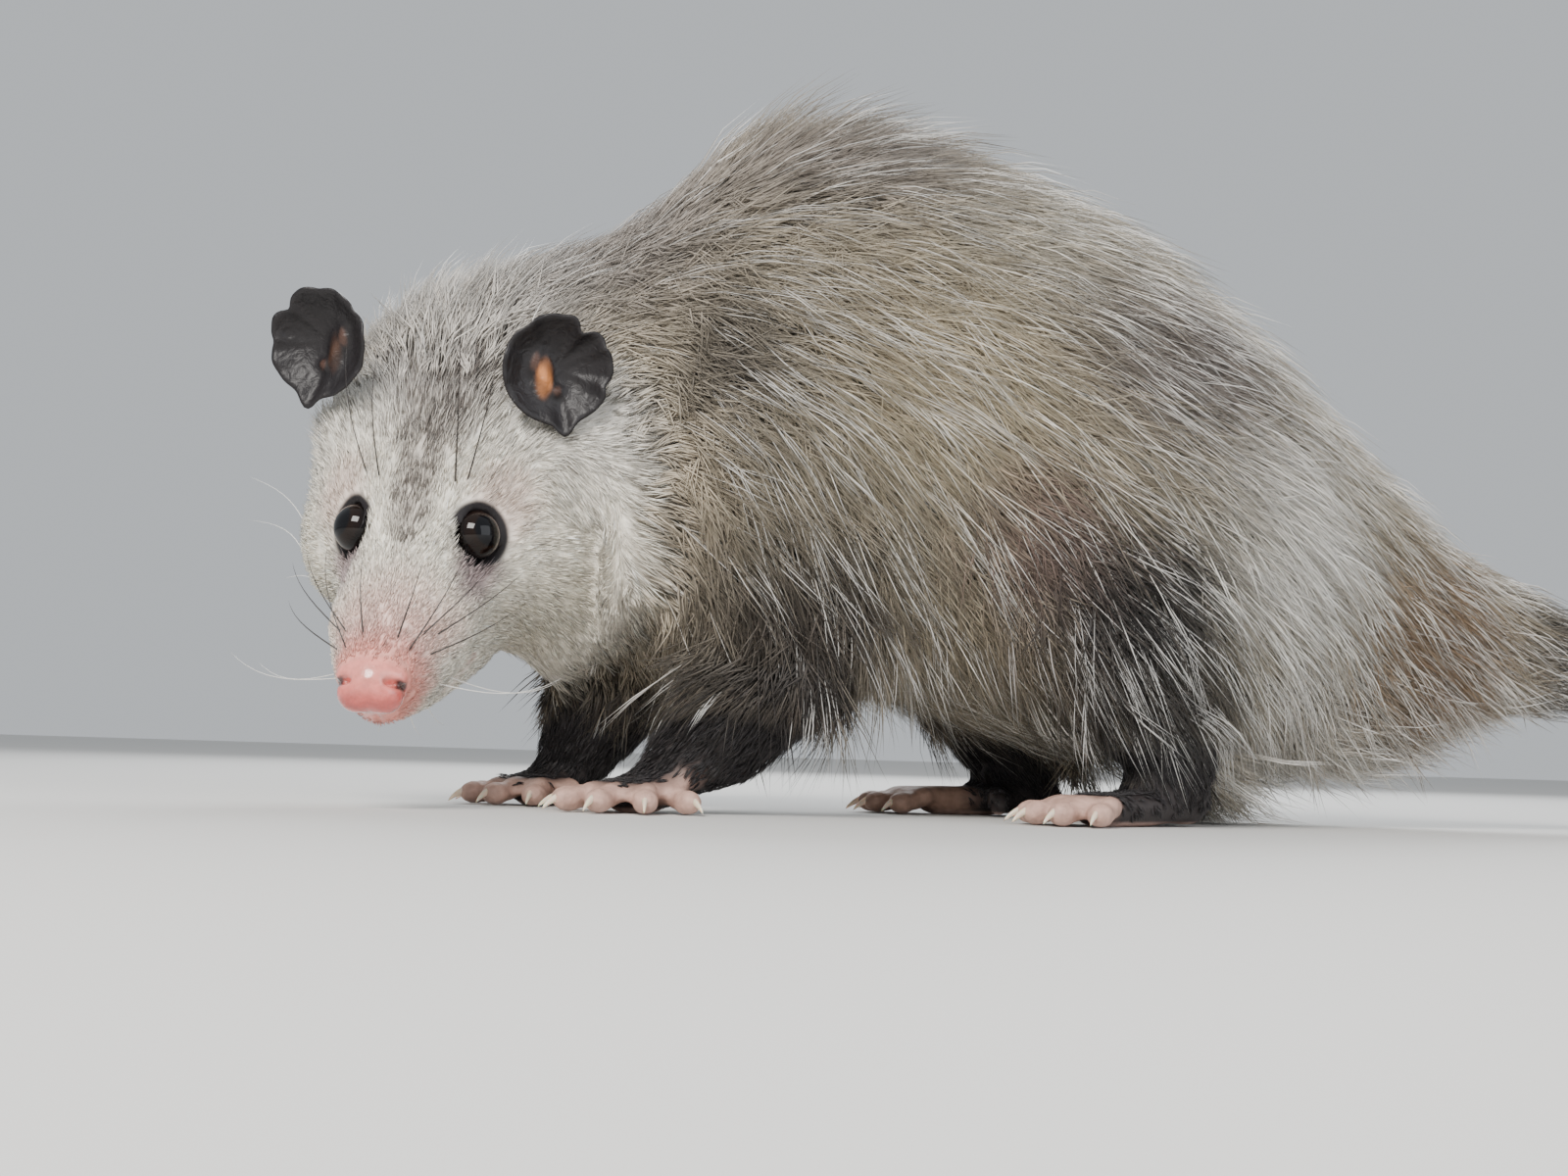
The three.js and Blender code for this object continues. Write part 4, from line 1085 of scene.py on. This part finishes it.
def hair_faces(stations):
    """Faces of one hair: a fan at the root, three sides along it and a fan at its tip."""
    faces, first = [], 1
    for _ in stations[1:-1]:
        for a, b in ((0, 1), (1, 2), (2, 0)):
            if first == 1:
                faces.append((0, first + b, first + a))
            else:
                faces += [(first - 3 + a, first - 3 + b, first + b), (first - 3 + a, first + b, first + a)]
        first += 3
    faces += [(first - 3 + a, first - 3 + b, first) for a, b in ((0, 1), (1, 2), (2, 0))]
    return np.array(faces)


FLOOR_GAP = 0.0004


def coat_piece(name, layers, paint, slot):
    """Joins layers of tufts into one mesh that rides on the animal."""
    joined, faces, before = ([], [], []), [], 0
    for stations, *layer in layers:
        hairs, each = layer[0].shape[:2]
        faces.append(hair_faces(stations)[None] + (before + np.arange(hairs) * each)[:, None, None])
        for all_layers, part in zip(joined, layer):
            all_layers.append(part.reshape(hairs * each, -1))
        before += hairs * each
    points, paints, maps = (np.concatenate(all_layers) for all_layers in joined)
    faces = np.concatenate([part.reshape(-1, 3) for part in faces])
    points[:, 2] = np.maximum(points[:, 2], FLOOR_GAP)
    mesh = bpy.data.meshes.new(name)
    mesh.vertices.add(len(points))
    set_points(mesh, points)
    mesh.loops.add(faces.size)
    mesh.loops.foreach_set("vertex_index", faces.astype(np.int32).ravel())
    mesh.polygons.add(len(faces))
    mesh.polygons.foreach_set("loop_start", np.arange(0, faces.size, 3, dtype=np.int32))
    mesh.update(calc_edges=True)
    write_colour(mesh, "markings", paints)
    on_map = mesh.uv_layers.new(name="OFBake")
    on_map.data.foreach_set("uv", maps[faces.ravel()].astype(np.float32).ravel())
    finished(name, mesh, paint, slot)


fur, tree, shader = material("fur")
feed(tree, shader, {
    "Base Color": painted(tree)["Color"], "Roughness": 0.62, "Sheen Weight": 0.08, "Specular IOR Level": 0.3})

# The trunk's coat: slices along its length, each a piece of its own, with wool under guard hairs. Each
# slice has where it starts and ends, its tufts of guard hairs, and the share of those that are silver
# where the wool is dark.
REGIONS = {
    "neck": (-200, -38, 800, 0.30), "shoulders": (-38, 8, 1000, 0.32), "back": (8, 54, 1000, 0.36),
    "loin": (54, 98, 1350, 0.50), "hips": (98, 146, 1600, 0.62), "rump": (146, 260, 1400, 0.62),
}
SLICE_FACES = 198000
GUARD_TUFT_FACES = 60
WOOL_TUFT_FACES = 48
SILVER = np.array([0.90, 0.885, 0.85])
middles_mm = in_mm(face_middles)
furred = (1 - bare(face_middles)) * ramp(clear_of_ears(face_middles), 0.0, 0.3)
head_faces = on_head(face_middles)
leg_faces = on_leg(middles_mm)
trunk_faces = (1 - head_faces) * (1 - leg_faces) * furred


def reached(roots, normals, long):
    """Markings under hairs of the given length, three fifths of the way to their tips."""
    return markings(roots + lie(roots, normals) * long[:, None] * 0.0006)


for region, (low, high, guard_tufts, silver) in REGIONS.items():
    wool_tufts = int((SLICE_FACES - guard_tufts * GUARD_TUFT_FACES) / WOOL_TUFT_FACES)
    here = trunk_faces * (middles_mm[:, 0] > low) * (middles_mm[:, 0] <= high)
    roots, normals = rooted(here, wool_tufts)
    long = coat_depth(roots) * 2.0 * (0.3 + 0.7 * clear_of_ears(roots))
    tones = (markings(roots) * 0.78, reached(roots, normals, long) * 1.08)
    wool = tufts(roots, normals, region, long, tones, **WOOL)
    roots, normals = rooted(here, guard_tufts)
    long = (coat_depth(roots) * 3.2 + 2) * (0.3 + 0.7 * clear_of_ears(roots))
    ends = reached(roots, normals, long)
    silver_here = (silver - 0.08 + 0.4 * ends.mean(1)) * ramp(in_mm(roots)[:, 0], 222, 204)
    white = (chance.random(guard_tufts) < silver_here)[:, None]
    tones = (markings(roots) * 0.85, np.where(white, ends * 0.15 + SILVER * 0.85, ends * 0.55))
    lifted = 8 * ramp(normals[:, 2], 0.5, 0.95)
    guard = tufts(roots, normals, region, long, tones, lifted=lifted, **GUARD)
    coat_piece(f"coat_{region}", [wool, guard], fur, "grey_fur")

# The face's hair is short and close, and grows longer towards the cheeks and the nape. Dark flecks stand
# in the smudge on the forehead, and a few elsewhere.
FACE_TUFTS = 10500
crowded = 1 + 0.6 * ramp(head_mm(face_middles)[:, 0], -70, -40)
roots, normals = rooted(head_faces * furred * crowded, FACE_TUFTS)
flecks = (chance.random(FACE_TUFTS) < 0.38 * on_smudge(roots)) | (chance.random(FACE_TUFTS) < 0.012)
tone = laid(face_paint(roots), (0.10, 0.08, 0.07), 0.8 * flecks)
long = (coat_depth(roots) * 2.4 + 1.6) * (0.4 + 0.6 * clear_of_ears(roots))
layer = tufts(roots, normals, "head", long, (tone * 0.9, tone * 1.06), **FACE_HAIR)
coat_piece("coat_head", [layer], fur, "white_fur")

# The legs' hair is short, black and close.
LEG_TUFTS = 4200
roots, normals = rooted(leg_faces * furred * (1 - head_faces), LEG_TUFTS)
tone = body_paint(roots)
long = coat_depth(roots) * 2.2 + 2.4
layer = tufts(roots, normals, "legs", long, (tone * 0.8, tone * 1.5), **LEG_HAIR)
coat_piece("coat_legs", [layer], fur, "black_fur")

# Whiskers: black bristles on the muzzle and brows and white ones on the lips, cheeks and chin. Each is a
# tapering thread from its root on the skin, with a bend. Each is given by its root and direction in the
# head's frame, its length and its bend.
WHISKERS = {
    "black": [
        ((-14.4, 4.3, 7.3), (-0.80, 0.10, 0.42), 21, 3.0),
        ((-13.5, 7.1, 5.2), (-0.90, 0.28, 0.42), 30, 4.0),
        ((-20.0, 8.6, 5.0), (-0.86, 0.50, 0.28), 27, 3.5),
        ((-23.0, 9.6, 2.2), (-0.84, 0.58, 0.14), 28, 4.0),
        ((-18.0, 8.8, 0.5), (-0.78, 0.66, 0.05), 24, 4.0),
        ((-58.5, 9.5, 23.0), (-0.52, -0.02, 0.86), 46, 6.0),
        ((-60.5, 12.0, 22.5), (-0.60, 0.16, 0.80), 33, 5.0),
    ],
    "white": [
        ((-66.0, 35.0, -8.0), (-0.45, 0.86, 0.05), 25, -6.0),
        ((-68.0, 36.0, 2.0), (-0.50, 0.84, 0.22), 22, -5.0),
        ((-60.0, 31.0, -14.0), (-0.45, 0.80, -0.30), 20, -4.0),
        ((-26.0, 10.0, -9.0), (-0.55, 0.80, -0.25), 30, 6.0),
        ((-20.0, 8.5, -6.0), (-0.50, 0.84, -0.10), 32, 6.0),
        ((-22.0, 3.0, -19.0), (-0.30, 0.25, -0.92), 9, 2.0),
        ((-30.0, 5.0, -24.0), (-0.45, 0.30, -0.85), 11, 2.0),
    ],
}
BRISTLES = {
    "black": (0.21, [(0.0, (0.01, 0.008, 0.008)), (1.0, (0.05, 0.04, 0.035))]),
    "white": (0.15, [(0.0, (0.70, 0.68, 0.62)), (1.0, (0.90, 0.88, 0.84))]),
}
WHISKER_RINGS = 9
WHISKER_SIDES = 4
WHISKER_TIP = 0.000015
bristles = {colour: ([], []) for colour in WHISKERS}
for hand, colour in ((hand, colour) for hand in (1, -1) for colour in WHISKERS):
    spread, faces = bristles[colour]
    for (x, y, z), (dx, dy, dz), long, bend in WHISKERS[colour]:
        shift = chance.normal(0, 0.5, 3) * (hand == -1)
        root = head_place(x + shift[0], (y + shift[1]) * hand, z + shift[2])
        _, root, off, _ = skin.closest_point_on_mesh(root)
        way = head_way(dx, dy * hand, dz).normalized()
        long *= 1 + 0.12 * chance.normal() * (hand == -1)
        sag = (off - way * off.dot(way)).normalized()
        aside = way.cross(sag)
        first = len(spread)
        spread.append(root - way * 0.0008)
        for share in np.arange(WHISKER_RINGS + 1) / WHISKER_RINGS:
            bent = bend * math.sin(math.pi * share * 0.8)
            middle = root + way * (long * share / 1000) + sag * (bent / 1000)
            if share == 1:
                spread.append(middle)
                break
            thick = BRISTLES[colour][0] * (1 - share) ** 0.8 / 1000 + WHISKER_TIP
            for n in range(WHISKER_SIDES):
                angle = 2 * math.pi * n / WHISKER_SIDES
                spread.append(middle + (aside * math.cos(angle) + sag * math.sin(angle)) * thick)
        last = len(spread) - 1
        for n in range(WHISKER_SIDES):
            m = (n + 1) % WHISKER_SIDES
            faces.append((first, first + 1 + n, first + 1 + m))
            for a in range(first + 1, last - WHISKER_SIDES, WHISKER_SIDES):
                b = a + WHISKER_SIDES
                faces.append((a + n, b + n, b + m, a + m))
            faces.append((last - WHISKER_SIDES + n, last, last - WHISKER_SIDES + m))
for colour, (spread, faces) in bristles.items():
    bristle, tree, shader = material(f"bristle_{colour}")
    banding = node(tree, "ShaderNodeTexNoise", {"Vector": own_places(tree), "Scale": 160.0})
    tone = colour_ramp(tree, banding.outputs["Fac"], BRISTLES[colour][1])
    feed(tree, shader, {"Base Color": tone, "Roughness": 0.3})
    finished(f"whiskers_{colour}", closed_mesh(spread, faces), bristle, f"{colour}_fur")
